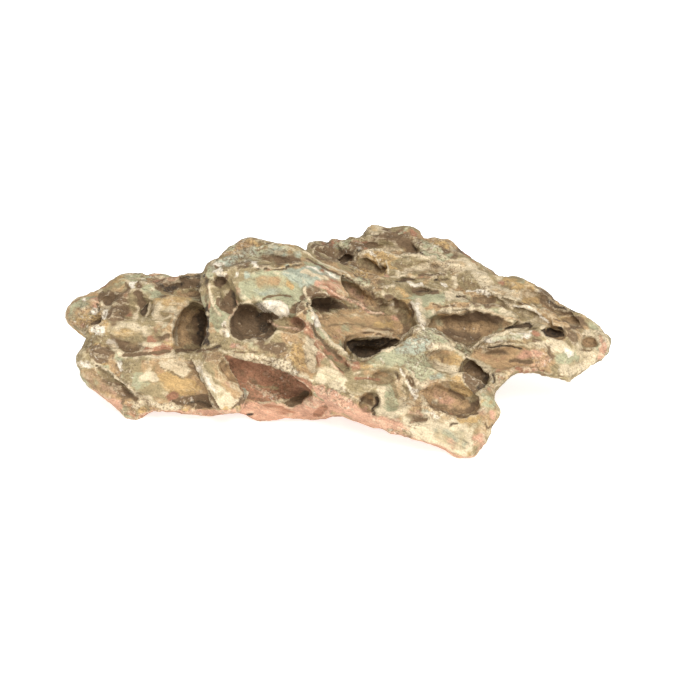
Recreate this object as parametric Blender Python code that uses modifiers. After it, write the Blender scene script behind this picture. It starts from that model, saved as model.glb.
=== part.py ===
"""A dragon stone for an aquarium: one craggy piece of weathered claystone, scooped all over into
hollows with sharp ridges left between them.

The stone is laid out in the plane of its front view. Every place is given in millimetres as
(across, up, near): across and up are where it shows in that view, and near is how far it lies in
front of the view's plane. The view looks down on the stone by VIEW_TILT.
"""

from math import cos, radians, sin

import bmesh
import bpy
from mathutils import Matrix, Vector

MM = 0.001
VIEW_TILT = radians(20)
EYE_DISTANCE = 1200.0
BED_BELOW_VIEW_CENTRE = 41.0

JOIN_VOXEL = 2.4 * MM
ROUGHENED_VOXEL = 2.0 * MM
HOLLOWS_VOXEL = 1.4 * MM
CARVED_VOXEL = 1.5 * MM
KEPT_SHARE_OF_FACES = 0.067
OUTLINE_NEAR = 90.0
OUTLINE_FAR = -130.0

TO_EYE = Vector((0, -cos(VIEW_TILT), sin(VIEW_TILT)))
VIEW_UP = Vector((0, sin(VIEW_TILT), cos(VIEW_TILT)))

# The bulk of the stone, as chunks that overlap: each is the hull of its corners.
CHUNKS = {
    "left_block": [
        (-137.5, 9.5, -20), (-134, 17, -22), (-128, 22, -24), (-127, 4, -12), (-118, 26, -24),
        (-108, 33, -26), (-100, 33, -28), (-88, 32, -30), (-66, 33, -32), (-100, 18, -2),
        (-90, 4, 4), (-68, 8, 2), (-60, -8, 4), (-118, 8, -4), (-125, 1, -8),
        (-128, 10, -50), (-112, 24, -62), (-75, 26, -74), (-115, 0, -58), (-70, -2, -80),
    ],
    "left_skirt": [
        (-132.5, -10, -8), (-130, -4, -10), (-128, -21, -6), (-120, -27, -4), (-112, -33, -6),
        (-107, -38, -9), (-103, -40, -10), (-98, -39, -10), (-84, -36, -8), (-66, -37, -6),
        (-50, -36, -8), (-125, 0, -8), (-105, -8, 6), (-90, -18, 10), (-70, -22, 11),
        (-60, -8, 12), (-50, -10, 12), (-48, -30, 4),
        (-120, -16, -42), (-100, -10, -66), (-60, -8, -76), (-60, -30, -50),
    ],
    "dome": [
        (-66, 33, 4), (-66.5, 37, 2), (-63, 40, 0), (-55, 46, -4), (-51, 49, -6), (-45, 51, -8),
        (-40, 50, -8), (-36, 48, -8), (-22, 46, -10), (-14, 43, -12), (-6, 39, -14),
        (4, 34.5, -14), (20, 28, -12), (-66, 10, 9), (-66, -3, 12), (-60, -6, 18),
        (-48, 32, 14), (-30, 34, 14), (-10, 30, 12), (-45, 15, 24), (-25, 15, 26), (-8, 8, 24),
        (-40, -8, 24), (-60, 30, -45), (-40, 42, -45), (-10, 34, -52), (-30, 0, -60),
    ],
    "keel": [
        (-58, -6, 18), (-42, -10, 24), (-26, -15, 29), (-12, -21, 33), (0, -28, 36),
        (17, -38, 40), (28, -44, 42), (41, -50, 44), (52, -54, 45), (-58, -2, 18), (-28, 6, 27),
        (-12, 6, 26), (-2, 0, 27), (12, -11, 29), (25, -4, 26), (36, 2, 22), (44, 6, 16),
        (64, -6, 14), (75, -20, 20), (-40, -14, 6), (0, -37, 18), (16, -42, 26), (30, -46, 34),
        (-10, -30, 8), (50, -50, 10), (0, 0, -30), (60, 0, -30), (-50, 0, -20),
    ],
    "skirt_slab": [
        (-73, -11, 10), (-60, -6, 14), (-48, -29, 10), (-57, -35, 8), (-68, -13, 20),
        (-59, -8, 22), (-51, -29, 20), (-58, -34, 16),
    ],
    "under_flake": [
        (-50, -36, -6), (-44, -39, -6), (-38, -41.5, -7), (-20, -39, -5), (-9, -39.5, -3),
        (0, -36, 2), (-48, -28, 2), (-28, -30, 5), (-12, -30, 8), (-2, -30, 8), (-52, -10, 6),
        (-10, -18, 16), (-50, -20, -50), (0, -30, -40), (10, -20, -50),
    ],
    "foot_back": [
        (58, -8, 6), (78, -16, 4), (79, -24, 6), (77, -30, 10), (60, -32, 20), (76, -30, -20),
        (60, -30, -30), (82, -16, -20), (60, -6, -30),
    ],
    "front_foot": [
        (58.5, -59, 44), (63.5, -60, 44), (67, -59, 42), (72, -52.5, 42), (76, -45, 41),
        (80, -38, 38), (79.5, -33.5, 36), (76, -30, 32), (77, -25, 28), (52.5, -54.5, 44),
        (41, -50, 43), (30, -40, 42), (40, -25, 38), (60, -20, 34), (74, -22, 28),
        (62, -50, 10), (72, -30, -5), (45, -45, 5), (40, -20, -10),
    ],
    "back_lobe": [
        (-16, 46, -46), (-15.5, 49, -50), (-13, 50.5, -52), (-8, 51, -52), (6, 50.5, -52),
        (12, 53, -54), (12.5, 56, -56), (15, 58, -58), (20, 58, -58), (31, 56, -58),
        (37, 57, -60), (40, 55, -58), (42, 52, -54), (-12, 40, -42), (8, 42, -40),
        (25, 44, -40), (44, 46, -44), (-14, 30, -36), (10, 30, -30), (44, 32, -32),
        (-14, 36, -72), (10, 40, -78), (38, 38, -78),
    ],
    "second_ridge": [
        (2, 39, -32), (10, 43, -34), (17, 45, -35), (24, 43, -34), (40, 42, -34), (60, 40, -36),
        (8, 33, -22), (25, 33, -20), (45, 32, -18), (60, 32, -22), (20, 30, -60), (50, 30, -60),
    ],
    "wing": [
        (45.5, 52, -50), (53.5, 50, -50), (59.5, 45.5, -48), (67, 40, -46), (74, 35, -43),
        (80, 31, -40), (86, 32, -40), (91, 30.5, -38), (97.5, 27, -35), (102.5, 24.5, -32),
        (108.5, 19, -28), (117, 15, -25), (123, 11, -23), (130, 6.5, -20), (135.5, 0, -17),
        (134, -7.5, -14), (127, -11.5, -11), (122, -15.5, -9), (114.5, -22, -7),
        (105.5, -17, -5), (97.5, -16, -2), (88, -15.5, 3), (83, -19.5, 8), (77, -25, 14),
        (70, -8, 14), (90, -2, 8), (110, -2, 0), (45, 10, 2), (60, 15, 0), (85, 14, -8),
        (120, 0, -50), (100, 15, -62), (70, 28, -72), (45, 38, -76), (80, -12, -50),
        (110, -14, -35),
    ],
    "core": [
        (-60, 25, -10), (-60, -20, -10), (0, 30, -14), (45, 30, -20), (60, 10, -5), (20, 10, 8),
        (0, 5, 15), (-40, 10, 10), (60, -20, 10), (0, -30, 0), (-30, -35, -20), (-60, 10, -72),
        (0, 20, -82), (60, 15, -78), (-50, -20, -60), (15, -24, -64), (60, -22, -64),
    ],
}

# The scooped hollows: centre, radii (across, up, near), and turn in the view's plane in degrees.
HOLLOWS = {
    "block_dish": ((-102, 18.5, -1), (9, 9, 9), 0),
    "block_pit": ((-97.5, 16, -4), (4.5, 6, 8), -25),
    "block_brow": ((-118, 19, -9.5), (9, 4, 7), 25),
    "block_cheek": ((-88, 14, 2), (8, 5, 6), 10),
    "beak_pit": ((-122, 9, -5), (5, 2.5, 8), 10),
    "block_saddle": ((-79, 27, -13), (15, 6, 10), -8),
    "block_waist_left": ((-108, -3, 2), (14, 2.5, 6), -8),
    "block_waist_right": ((-84, -5, 8), (16, 2.2, 7), 4),
    "left_cave": ((-73, 6, -3), (10, 13, 20), -12),
    "skirt_groove": ((-105, -25.5, 2.5), (17, 2.5, 6), -44),
    "skirt_lens": ((-79, -20, 12), (17, 9, 9), -25),
    "skirt_toe": ((-74, -30, 5), (14, 4, 7), -10),
    "dome_nook": ((-59.5, 29, 11), (5, 4, 9), 0),
    "dome_flute": ((-54, 18.5, 16), (4.5, 8, 11), 10),
    "dome_flute_low": ((-61, 11, 15), (3.5, 7, 5), 15),
    "dome_band": ((-28, 41.5, 3.5), (20, 3.5, 6), 4),
    "dome_crown": ((-48, 45, 2), (8, 3, 5), 20),
    "dome_face": ((-35, 28.5, 28), (22, 13, 15), -8),
    "dome_cave": ((-44, 9.5, 20), (12, 9.5, 22), -6),
    "dome_cave_side": ((-27, 9, 26), (10, 4, 12), -14),
    "dome_crease": ((-24, 14, 24), (2, 5.5, 7), -20),
    "ledge_slope": ((-21, -5, 36), (6, 15, 9), 35),
    "fold_high": ((-7.5, -3.5, 29), (16, 3, 6), -47),
    "fold_low": ((-1, -11.5, 32), (11, 2.5, 5), -40),
    "hollow_trough": ((8, 22.5, -2), (17, 5.5, 12), -32),
    "hollow_pocket": ((-7, 18, 7), (11, 4, 14), -8),
    "hollow_bowl": ((30, 11, 2), (8, 10, 17), 0),
    "long_hollow": ((62, 7, 5.5), (21, 8, 15), 0),
    "long_hollow_toe": ((63, 0.5, 9), (16, 7, 14), 25),
    "wing_slot": ((91, 7, 0), (10, 2.5, 14), 15),
    "wing_hole": ((107, 3.5, -2), (6.5, 2.7, 14), -8),
    "wing_underface": ((85, -9, 15), (24, 6.5, 11), -2),
    "tip_pocket": ((124, -0.5, -10), (5.5, 4.5, 7), 0),
    "tip_brow": ((113, 10.5, -17), (9, 3, 6), -32),
    "wing_band_top": ((50, 36, -23), (26, 3, 8), -3),
    "wing_band_mid": ((60, 28.5, -15.5), (15, 4, 8), -4),
    "wing_band_low": ((71, 20.5, -13), (14, 4.5, 8), -12),
    "wing_band_short": ((39.5, 25, -11), (8, 2.5, 7), -5),
    "wing_band_right": ((92, 14, -7), (16, 3.5, 7), -22),
    "wing_wedge": ((102, 19, -20), (15, 5, 8), -28),
    "crag_slot": ((33, 30.5, -15), (6.5, 2, 12), 0),
    "crag_slot_high": ((3.5, 40, -38), (5.5, 2.2, 10), 25),
    "crag_left": ((-6, 44, -41), (8, 4, 7), 15),
    "crag_middle": ((20, 47, -41), (11, 3, 7), -12),
    "crag_right": ((35, 46, -41), (6, 4, 7), -50),
    "crag_dish": ((14, 37, -27), (13, 4, 8), -25),
    "foot_cave": ((67.5, -17, 18), (9, 8.5, 17), 20),
    "foot_hollow": ((55, -29.5, 37.5), (15, 7.5, 10), -18),
    "foot_shoulder": ((51, -9, 28.5), (10, 5, 8), 0),
    "foot_scar": ((39, -36.5, 46.5), (7, 5, 6), 0),
    "keel_pocket": ((14.5, -31, 37), (5, 5.5, 9), 0),
    "keel_dish": ((24, -19, 37), (10, 4, 8), 5),
    "keel_trough": ((28, -28, 39), (4, 8, 7), -15),
    "keel_flute": ((35, -24, 39), (5, 9, 8), 30),
    "keel_undercut": ((-36, -20, 21), (25, 9.5, 18), -18),
    "flake_nick": ((-20, -27.5, 8), (7, 3, 7), 20),
}

# The great hollow under the dome and the throat that goes down behind its lip, each a hull of corners.
GOUGES = {
    "great_hollow": [
        (-20, 25, 46), (-17, 15, 50), (-13, 6, 50), (-7, 0, 50), (0, -5.5, 50), (5, -9, 50),
        (11, -10.5, 50), (17, -8, 50), (29, -2, 50), (36, 4, 50), (39, 8, 50), (39, 15, 50),
        (37, 19, 46), (28, 21, 46), (5, 19, 46), (-15, 16, 16), (-12, 7, 20), (-6, 0, 24),
        (1, -5.5, 25), (5, -9, 25), (11, -10.5, 25), (17, -8, 24), (29, -2, 18), (36, 4, 6),
        (-11, 19, 4), (-11, 12, 7), (-4, 5, 9), (4, 0, 14), (29, 2, 4), (34, 7, -7),
        (34, 14, -14), (27, 18, -14), (10, 15, -7), (-4, 18, 0),
    ],
    "throat": [
        (2, 0.5, 24), (17, 2, 22), (31, 1, 18), (2, 1, 8), (17, 2.5, 4), (30, 1, 0),
        (4, -8, 26), (10, -11, 27), (28, -3, 22), (8, -18, 17), (24, -15, 15), (33, -6, 8),
        (6, -21, -4), (24, -20, -10), (34, -8, -12), (0, -8, 0), (14, -8, -16),
    ],
}

# Hollows in the top, back and underside: centre and radii across, back and above the bed, and
# turn about the upright in degrees.
HIDDEN_HOLLOWS = {
    "top_left": ((-98, 38, 67), (16, 12, 8), 15),
    "top_left_small": ((-78, 53, 63), (11, 9, 8), 0),
    "top_behind_dome": ((-40, 57, 68), (15, 11, 12), 10),
    "top_lobe": ((-4, 68, 78), (12, 9, 10), -20),
    "back_left_high": ((-100, 73, 42), (17, 13, 9), 20),
    "back_left_low": ((-90, 65, 14), (18, 13, 8), -5),
    "back_left_pit": ((-112, 68, 26), (9, 10, 7), 0),
    "back_left_slit": ((-82, 78, 28), (10, 10, 5), 10),
    "back_cave": ((-25, 76, 12), (27, 20, 11), 0),
    "back_cave_right": ((30, 76, 15), (16, 16, 10), 15),
    "back_middle": ((10, 85, 33), (25, 12, 7), 8),
    "back_middle_left": ((-38, 77, 37), (15, 12, 8), -10),
    "back_groove": ((0, 64, 47), (40, 14, 5), 0),
    "back_shelf_left": ((-6, 87, 60), (12, 11, 5), -12),
    "back_shelf_right": ((30, 89, 61), (13, 11, 6), 12),
    "back_high": ((22, 84, 73), (13, 9, 5), 0),
    "back_wing_high": ((72, 78, 47), (14, 11, 6), -10),
    "back_wing_low": ((88, 67, 32), (18, 12, 6), -14),
    "back_wing_tip": ((110, 56, 36), (12, 10, 7), -25),
    "right_end": ((119, 46, 25), (12, 11, 8), -30),
    "left_end": ((-129, 57, 40), (12, 10, 9), 20),
    "wing_underside": ((92, 34, 11), (20, 20, 10), 0),
    "arch_middle": ((-18, 24, -3), (38, 26, 15), 10),
    "arch_left": ((-72, 46, -3), (26, 22, 12), -15),
    "arch_right": ((44, 26, -4), (22, 24, 14), 0),
}

# The stone's outline in the front view, clockwise from its left tip.
OUTLINE = [
    (-138, 10.5), (-135.5, 17), (-132, 21.5), (-122, 23.5), (-116.5, 28), (-109.5, 32.5),
    (-100, 33.5), (-86, 32), (-82.5, 30.5), (-80, 32.5), (-67, 33.5), (-66.5, 37), (-59, 43),
    (-51, 49.5), (-45.5, 51), (-41, 50.5), (-36, 48), (-22.5, 46.5), (-15, 43.5), (-16, 46.5),
    (-15, 49.5), (-10, 51), (6, 50.5), (12, 52.5), (13, 56), (16, 58.5), (20, 58), (25, 56),
    (37, 57), (40, 54.5), (43, 52), (53.5, 50), (59.5, 45.5), (67, 40), (80, 31), (86, 32),
    (91, 30.5), (102.5, 24.5), (108.5, 19), (117, 15), (130, 6.5), (135.5, 0), (134, -7.5),
    (127, -11.5), (117, -18), (114.5, -22), (110.5, -19), (97.5, -16), (88, -15.5),
    (83, -19.5), (77, -25), (76.5, -30.5), (80, -34), (80, -38), (76, -45), (67, -59),
    (63, -60.5), (58, -59), (52.5, -54.5), (41, -50), (24, -45.5), (4.5, -39), (-1.5, -37),
    (-9, -39.5), (-20, -39), (-38, -41.5), (-50.5, -35.5), (-66, -37.5), (-93, -35.5),
    (-98, -39), (-103, -40.5), (-108, -38), (-113, -32), (-126, -23), (-132.5, -13),
    (-132, -8), (-125.5, 0.5), (-132.5, 6),
]


def seen(across, up, near):
    """The place that shows at (across, up) in the front view and lies near in front of its plane."""
    shrink = 1 - near / EYE_DISTANCE
    bed = Vector((0, 0, BED_BELOW_VIEW_CENTRE))
    return (bed + Vector((across * shrink, 0, 0)) + up * shrink * VIEW_UP + near * TO_EYE) * MM


def new_object(name, bm, collection):
    """A mesh object made from bm, in the collection."""
    mesh = bpy.data.meshes.new(name)
    bm.to_mesh(mesh)
    bm.free()
    made = bpy.data.objects.new(name, mesh)
    collection.objects.link(made)
    return made


def helper(name, bm, collection):
    """An object that only shapes another one."""
    made = new_object(name, bm, collection)
    made.hide_render = True
    made.display_type = "WIRE"
    return made


def add_hulls(bm, corner_lists):
    """Adds to bm the convex hull of each list of corners."""
    for corners in corner_lists:
        verts = [bm.verts.new(seen(*corner)) for corner in corners]
        hull = bmesh.ops.convex_hull(bm, input=verts)
        unused = hull["geom_interior"] + hull["geom_unused"]
        spare = {part for part in unused if isinstance(part, bmesh.types.BMVert)}
        bmesh.ops.delete(bm, geom=list(spare), context="VERTS")


def add_scoop(bm, place, axes, radii, turn):
    """Adds to bm an ellipsoid, its radii along the axes and then turned about the last of them."""
    stretch = Matrix.Diagonal((*[r * MM for r in radii], 1))
    spin = Matrix.Rotation(radians(turn), 4, "Z")
    matrix = Matrix.Translation(place) @ axes.to_4x4() @ spin @ stretch
    bmesh.ops.create_icosphere(bm, subdivisions=4, radius=1.0, matrix=matrix)


def bulk():
    """All the chunks in one bmesh."""
    bm = bmesh.new()
    add_hulls(bm, CHUNKS.values())
    bmesh.ops.recalc_face_normals(bm, faces=bm.faces)
    return bm


def hollow_shapes():
    """All the hollows in one bmesh."""
    bm = bmesh.new()
    view_axes = Matrix((Vector((1, 0, 0)), VIEW_UP, TO_EYE)).transposed()
    for centre, radii, turn in HOLLOWS.values():
        add_scoop(bm, seen(*centre), view_axes, radii, turn)
    for centre, radii, turn in HIDDEN_HOLLOWS.values():
        add_scoop(bm, Vector(centre) * MM, Matrix.Identity(3), radii, turn)
    add_hulls(bm, GOUGES.values())
    bmesh.ops.recalc_face_normals(bm, faces=bm.faces)
    return bm


def outline_cone():
    """The outline swept along the lines of sight, from in front of the stone to behind it."""
    bm = bmesh.new()
    near_ring = [bm.verts.new(seen(a, u, OUTLINE_NEAR)) for a, u in OUTLINE]
    far_ring = [bm.verts.new(seen(a, u, OUTLINE_FAR)) for a, u in OUTLINE]
    bmesh.ops.contextual_create(bm, geom=near_ring)
    bmesh.ops.contextual_create(bm, geom=far_ring)
    rings = list(zip(near_ring, far_ring))
    for (near_a, far_a), (near_b, far_b) in zip(rings, rings[1:] + rings[:1]):
        bm.faces.new((near_a, near_b, far_b, far_a))
    bmesh.ops.triangulate(bm, faces=bm.faces)
    bmesh.ops.recalc_face_normals(bm, faces=bm.faces)
    return bm


def floor_block():
    """A block whose top is what the stone stands on."""
    bm = bmesh.new()
    bmesh.ops.create_cube(bm, size=1.0)
    bm.transform(Matrix.Translation((0, 0, -0.05)) @ Matrix.Diagonal((0.6, 0.6, 0.1, 1)))
    return bm


def scallops(name, size):
    """A procedural texture of rounded cells with ridges between them, for a Displace modifier."""
    texture = bpy.data.textures.new(name, "VORONOI")
    texture.noise_scale = size
    return texture


def cloud(name, size, depth):
    """A procedural cloud texture for a Displace modifier."""
    texture = bpy.data.textures.new(name, "CLOUDS")
    texture.noise_scale = size
    texture.noise_depth = depth
    return texture


def remesh(stone, voxel):
    modifier = stone.modifiers.new("remesh", "REMESH")
    modifier.mode = "VOXEL"
    modifier.voxel_size = voxel


def smooth(stone, times):
    modifier = stone.modifiers.new("smooth", "SMOOTH")
    modifier.factor = 0.5
    modifier.iterations = times


def roughen(stone, texture, strength, mid_level=0.5):
    modifier = stone.modifiers.new("roughen", "DISPLACE")
    modifier.texture = texture
    modifier.texture_coords = "LOCAL"
    modifier.strength = strength
    modifier.mid_level = mid_level


def cut(stone, operation, cutter):
    modifier = stone.modifiers.new("cut", "BOOLEAN")
    modifier.operation = operation
    modifier.object = cutter


def stand_at_origin(stone):
    """Moves the stone so that the middle of its underside is the origin."""
    bpy.context.view_layer.update()
    evaluated = stone.evaluated_get(bpy.context.evaluated_depsgraph_get())
    corners = [Vector(c) for c in evaluated.bound_box]
    low = [min(c[i] for c in corners) for i in range(3)]
    high = [max(c[i] for c in corners) for i in range(3)]
    shift = Vector((-(low[0] + high[0]) / 2, -(low[1] + high[1]) / 2, -low[2]))
    for thing in bpy.data.objects:
        thing.location = shift


def claystone():
    """The material of the whole stone."""
    material = bpy.data.materials.new("claystone")
    material.use_nodes = True
    shader = material.node_tree.nodes["Principled BSDF"]
    shader.inputs["Base Color"].default_value = (0.36, 0.28, 0.17, 1)
    shader.inputs["Roughness"].default_value = 0.9
    shader.inputs["Metallic"].default_value = 0.0
    return material


def main():
    for old in list(bpy.data.objects):
        bpy.data.objects.remove(old)
    scene = bpy.context.scene.collection
    parts = bpy.data.collections.new("dragon_stone")
    trims = bpy.data.collections.new("trims")
    for collection in (parts, trims):
        scene.children.link(collection)

    hollows = helper("hollows", hollow_shapes(), trims)
    remesh(hollows, HOLLOWS_VOXEL)
    outline = helper("outline", outline_cone(), trims)
    floor = helper("floor", floor_block(), trims)

    stone = new_object("stone", bulk(), parts)
    stone.data.materials.append(claystone())
    remesh(stone, JOIN_VOXEL)
    smooth(stone, 3)
    roughen(stone, cloud("lumps", 0.022, 2), 7 * MM)
    roughen(stone, scallops("scallops", 0.017), 6 * MM, 0.05)
    remesh(stone, ROUGHENED_VOXEL)
    cut(stone, "DIFFERENCE", hollows)
    cut(stone, "INTERSECT", outline)
    remesh(stone, CARVED_VOXEL)
    smooth(stone, 1)
    roughen(stone, cloud("grit", 0.008, 2), 1.6 * MM)
    decimate = stone.modifiers.new("decimate", "DECIMATE")
    decimate.ratio = KEPT_SHARE_OF_FACES
    cut(stone, "DIFFERENCE", floor)
    stand_at_origin(stone)


if __name__ == "__main__":
    main()
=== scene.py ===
"""Looks of an aquarium dragon stone: layered clay, weathered into hollows, ledges and cream ridges."""

import logging
import math
import dataclasses
from dataclasses import dataclass
from enum import Enum, IntEnum
from typing import ClassVar

import bmesh
import bpy
import numpy as np
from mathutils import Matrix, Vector, noise
from mathutils.bvhtree import BVHTree


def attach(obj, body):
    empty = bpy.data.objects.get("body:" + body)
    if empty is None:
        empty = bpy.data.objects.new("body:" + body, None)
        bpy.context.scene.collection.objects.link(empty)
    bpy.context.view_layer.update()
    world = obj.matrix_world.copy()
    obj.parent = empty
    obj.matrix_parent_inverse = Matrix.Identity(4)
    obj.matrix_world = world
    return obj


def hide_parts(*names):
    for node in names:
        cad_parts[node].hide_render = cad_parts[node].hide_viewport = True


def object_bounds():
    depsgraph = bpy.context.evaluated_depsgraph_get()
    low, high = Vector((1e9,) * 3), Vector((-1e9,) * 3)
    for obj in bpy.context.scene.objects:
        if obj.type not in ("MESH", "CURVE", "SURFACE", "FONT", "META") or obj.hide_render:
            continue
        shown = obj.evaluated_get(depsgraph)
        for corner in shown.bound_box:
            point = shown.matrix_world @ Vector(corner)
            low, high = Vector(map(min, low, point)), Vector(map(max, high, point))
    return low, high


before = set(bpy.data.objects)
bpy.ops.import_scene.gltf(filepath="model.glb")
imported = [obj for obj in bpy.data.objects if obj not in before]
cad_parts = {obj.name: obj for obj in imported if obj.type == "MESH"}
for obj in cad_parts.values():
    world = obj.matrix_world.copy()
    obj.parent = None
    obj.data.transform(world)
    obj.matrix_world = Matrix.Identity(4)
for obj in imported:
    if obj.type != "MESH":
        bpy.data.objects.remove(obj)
cad_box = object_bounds()

MM = 0.001
STONE_NODE = "stone"
# These turn a seed into a shift of the noise, so that each seed gives its own pattern.
CLOUD_SHIFT = (7.31, 3.17, 5.73)
SCALLOP_SHIFT = (2.9, 6.1, 4.7)
SCALLOP_REACH = 0.72
log = logging.getLogger("dragon_stone")


class Clay(Enum):
    """The minerals and colours of the clay; the value names the mask on the mesh. The near-black is no clay
    but painted shade in caves, slots and cracks, and brown in grooves and hollows is partly painted shade.
    """

    OLIVE = "olive"
    TAN = "tan"
    GREEN = "green"
    SLATE = "slate"
    OCHRE = "ochre"
    RUST = "rust"
    ROSE = "rose"
    CREAM = "cream"
    WHITE = "white"
    # Brown clay, which in grooves and hollows is partly painted shade.
    BROWN = "brown"
    # Painted shade: the near-black laid in caves, slots and cracks where shade falls.
    DARK = "deep_shade"


# The marks name the clays often, so each clay has a short name too.
OLIVE, TAN, GREEN, SLATE, OCHRE, RUST, ROSE, CREAM, WHITE, BROWN, DARK = Clay


class Form(Enum):
    """The shape that a mark gives the surface across its line.

    Each form holds its name and where its colour begins and ends to fade, in widths of the mark.
    """

    RIDGE = ("ridge", 0.15, 0.75)
    MOUND = ("mound", 0.3, 1.35)
    GROOVE = ("groove", 0.15, 0.75)
    SLOT = ("slot", 0.15, 0.75)
    BASIN = ("basin", 0.3, 0.95)
    LEDGE = ("ledge", 0.15, 0.75)
    STAIN = ("stain", 0.3, 1.35)
    FIELD = ("field", 0.4, 1.5)

    @property
    def closed(self) -> bool:
        """Whether the line goes round an area."""
        return self in (Form.BASIN, Form.FIELD)

    @property
    def soft(self) -> bool:
        """Whether the colour's edge is frayed and patchy."""
        return self in (Form.MOUND, Form.STAIN, Form.FIELD)


class Seed(IntEnum):
    """Which random pattern each noise takes."""

    SCALLOPS = 1
    DIMPLES = 3
    BED_WANDER = 4
    BED_EDGES = 5
    GRIT = 6
    CRUMBLY = 8
    SWAY = 11
    PATCHES = 15
    STREAKS = 16
    GROUND = 20


@dataclass(frozen=True)
class PhotoView:
    """The photograph's view of the stone: a camera in front of it, a little above.

    Points are in millimetres in the frame of the stone, and picture places in pixels.
    """

    centre: tuple[float, float, float] = (1.43, -13.96, 41.0)
    tilt: float = math.radians(20.0)
    distance: float = 1200.0
    pixels_per_mm: float = 2.0
    picture_size: float = 680.0
    sensor: float = 36.0

    @property
    def to_eye(self) -> np.ndarray:
        """Direction from the stone to the camera."""
        return np.array((0.0, -math.cos(self.tilt), math.sin(self.tilt)))

    @property
    def up(self) -> np.ndarray:
        """Direction that is up in the picture."""
        return np.array((0.0, math.sin(self.tilt), math.cos(self.tilt)))

    @property
    def eye(self) -> np.ndarray:
        """Place of the camera."""
        return np.array(self.centre) + self.to_eye * self.distance

    @property
    def lens(self) -> float:
        """Focal length that fits the picture's width at the stone's distance."""
        return self.sensor * self.distance * self.pixels_per_mm / self.picture_size

    def pixels(self, points: np.ndarray) -> np.ndarray:
        """Finds where points show in the picture.

        Args:
            points: Places in millimetres, one row each.

        Returns:
            Picture places, one row each.
        """
        from_centre = points - np.array(self.centre)
        nearer = self.distance / (self.distance - from_centre @ self.to_eye)
        across = from_centre[:, 0] * nearer * self.pixels_per_mm
        upward = from_centre @ self.up * nearer * self.pixels_per_mm
        middle = self.picture_size / 2
        return np.column_stack((middle + across, middle - upward))

    def flat(self, pixels: np.ndarray) -> np.ndarray:
        """Gives picture places in millimetres to the right of the picture's middle and above it."""
        return (pixels - self.picture_size / 2) * (1, -1) / self.pixels_per_mm

    def rays(self, points: np.ndarray) -> np.ndarray:
        """Gives unit directions from points to the camera."""
        toward = self.eye - points
        return toward / np.linalg.norm(toward, axis=1)[:, None]


@dataclass
class Surface:
    """The stone's fine mesh as arrays that can be shaped: places in millimetres, and edges."""

    mesh: bpy.types.Mesh
    places: np.ndarray = dataclasses.field(init=False)
    edges: np.ndarray = dataclasses.field(init=False)
    degree: np.ndarray = dataclasses.field(init=False)

    def __post_init__(self) -> None:
        """Reads the mesh."""
        count = len(self.mesh.vertices)
        flat = np.empty(count * 3, dtype=np.float32)
        self.mesh.vertices.foreach_get("co", flat)
        self.places = flat.reshape(-1, 3).astype(float) / MM
        pairs = np.empty(len(self.mesh.edges) * 2, dtype=np.int32)
        self.mesh.edges.foreach_get("vertices", pairs)
        self.edges = pairs.reshape(-1, 2)
        self.degree = np.bincount(pairs, minlength=count).astype(float)

    def write(self) -> None:
        """Puts the places back in the mesh."""
        self.mesh.vertices.foreach_set("co", (self.places * MM).astype(np.float32).ravel())
        self.mesh.update()

    def normals(self) -> np.ndarray:
        """Writes the mesh and gives its normals."""
        self.write()
        flat = np.empty(len(self.places) * 3, dtype=np.float32)
        self.mesh.vertex_normals.foreach_get("vector", flat)
        return flat.reshape(-1, 3).astype(float)

    def lift(self, heights: np.ndarray) -> None:
        """Moves each vertex out along its normal by its height."""
        self.places += self.normals() * heights[:, None]

    def average(self, values: np.ndarray, times: int = 1) -> np.ndarray:
        """Evens values out over neighbouring vertices.

        Args:
            values: One number or one row for each vertex.
            times: How often each vertex takes half of its neighbours' mean.

        Returns:
            The evened values, in the same form.
        """
        columns = values.reshape(len(values), -1).astype(float)
        first, second = self.edges.T
        for _ in range(times):
            for column in range(columns.shape[1]):
                line = columns[:, column]
                total = np.bincount(first, line[second], len(line))
                total += np.bincount(second, line[first], len(line))
                columns[:, column] = 0.5 * line + 0.5 * total / self.degree
        return columns.reshape(values.shape)

    def bulge(self, times: int) -> np.ndarray:
        """Gives how far each vertex stands out of its evened surroundings, in millimetres."""
        return np.einsum("ij,ij->i", self.places - self.average(self.places, times), self.normals())

    def sway(self, size: float) -> np.ndarray:
        """Gives a smooth random offset for each vertex, of about 1 in each direction."""
        offsets = [clouds(self.places, size, Seed.SWAY + axis, octaves=2) for axis in range(3)]
        return np.column_stack(offsets)

    def tree(self) -> BVHTree:
        """Gives a search tree of the shaped surface, in millimetres."""
        faces = [tuple(polygon.vertices) for polygon in self.mesh.polygons]
        return BVHTree.FromPolygons(self.places.tolist(), faces)

    def store(self, name: str, values: np.ndarray) -> None:
        """Keeps one number for each vertex on the mesh, under a name."""
        layer = self.mesh.attributes.new(name, "FLOAT", "POINT")
        layer.data.foreach_set("value", values.astype(np.float32))

    def store_vectors(self, name: str, rows: np.ndarray) -> None:
        """Keeps one vector for each vertex on the mesh, under a name."""
        layer = self.mesh.attributes.new(name, "FLOAT_VECTOR", "POINT")
        layer.data.foreach_set("vector", rows.astype(np.float32).ravel())


def smoothstep(low: float, high: float, values: np.ndarray) -> np.ndarray:
    """Gives 0 below low, 1 above high and a soft rise between them."""
    share = np.clip((values - low) / (high - low), 0.0, 1.0)
    return share * share * (3.0 - 2.0 * share)


def clouds(points: np.ndarray, size: float, seed: int, octaves: int = 3) -> np.ndarray:
    """Gives soft noise at each point.

    Args:
        points: Places in millimetres.
        size: Size of the largest lumps in millimetres.
        seed: Shifts the pattern.
        octaves: How many finer layers are added.

    Returns:
        Numbers of about -1 to 1.
    """
    shift = Vector([seed * part for part in CLOUD_SHIFT])
    return np.array([noise.fractal(Vector(p) + shift, 1.0, 2.0, octaves) for p in points / size])


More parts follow.
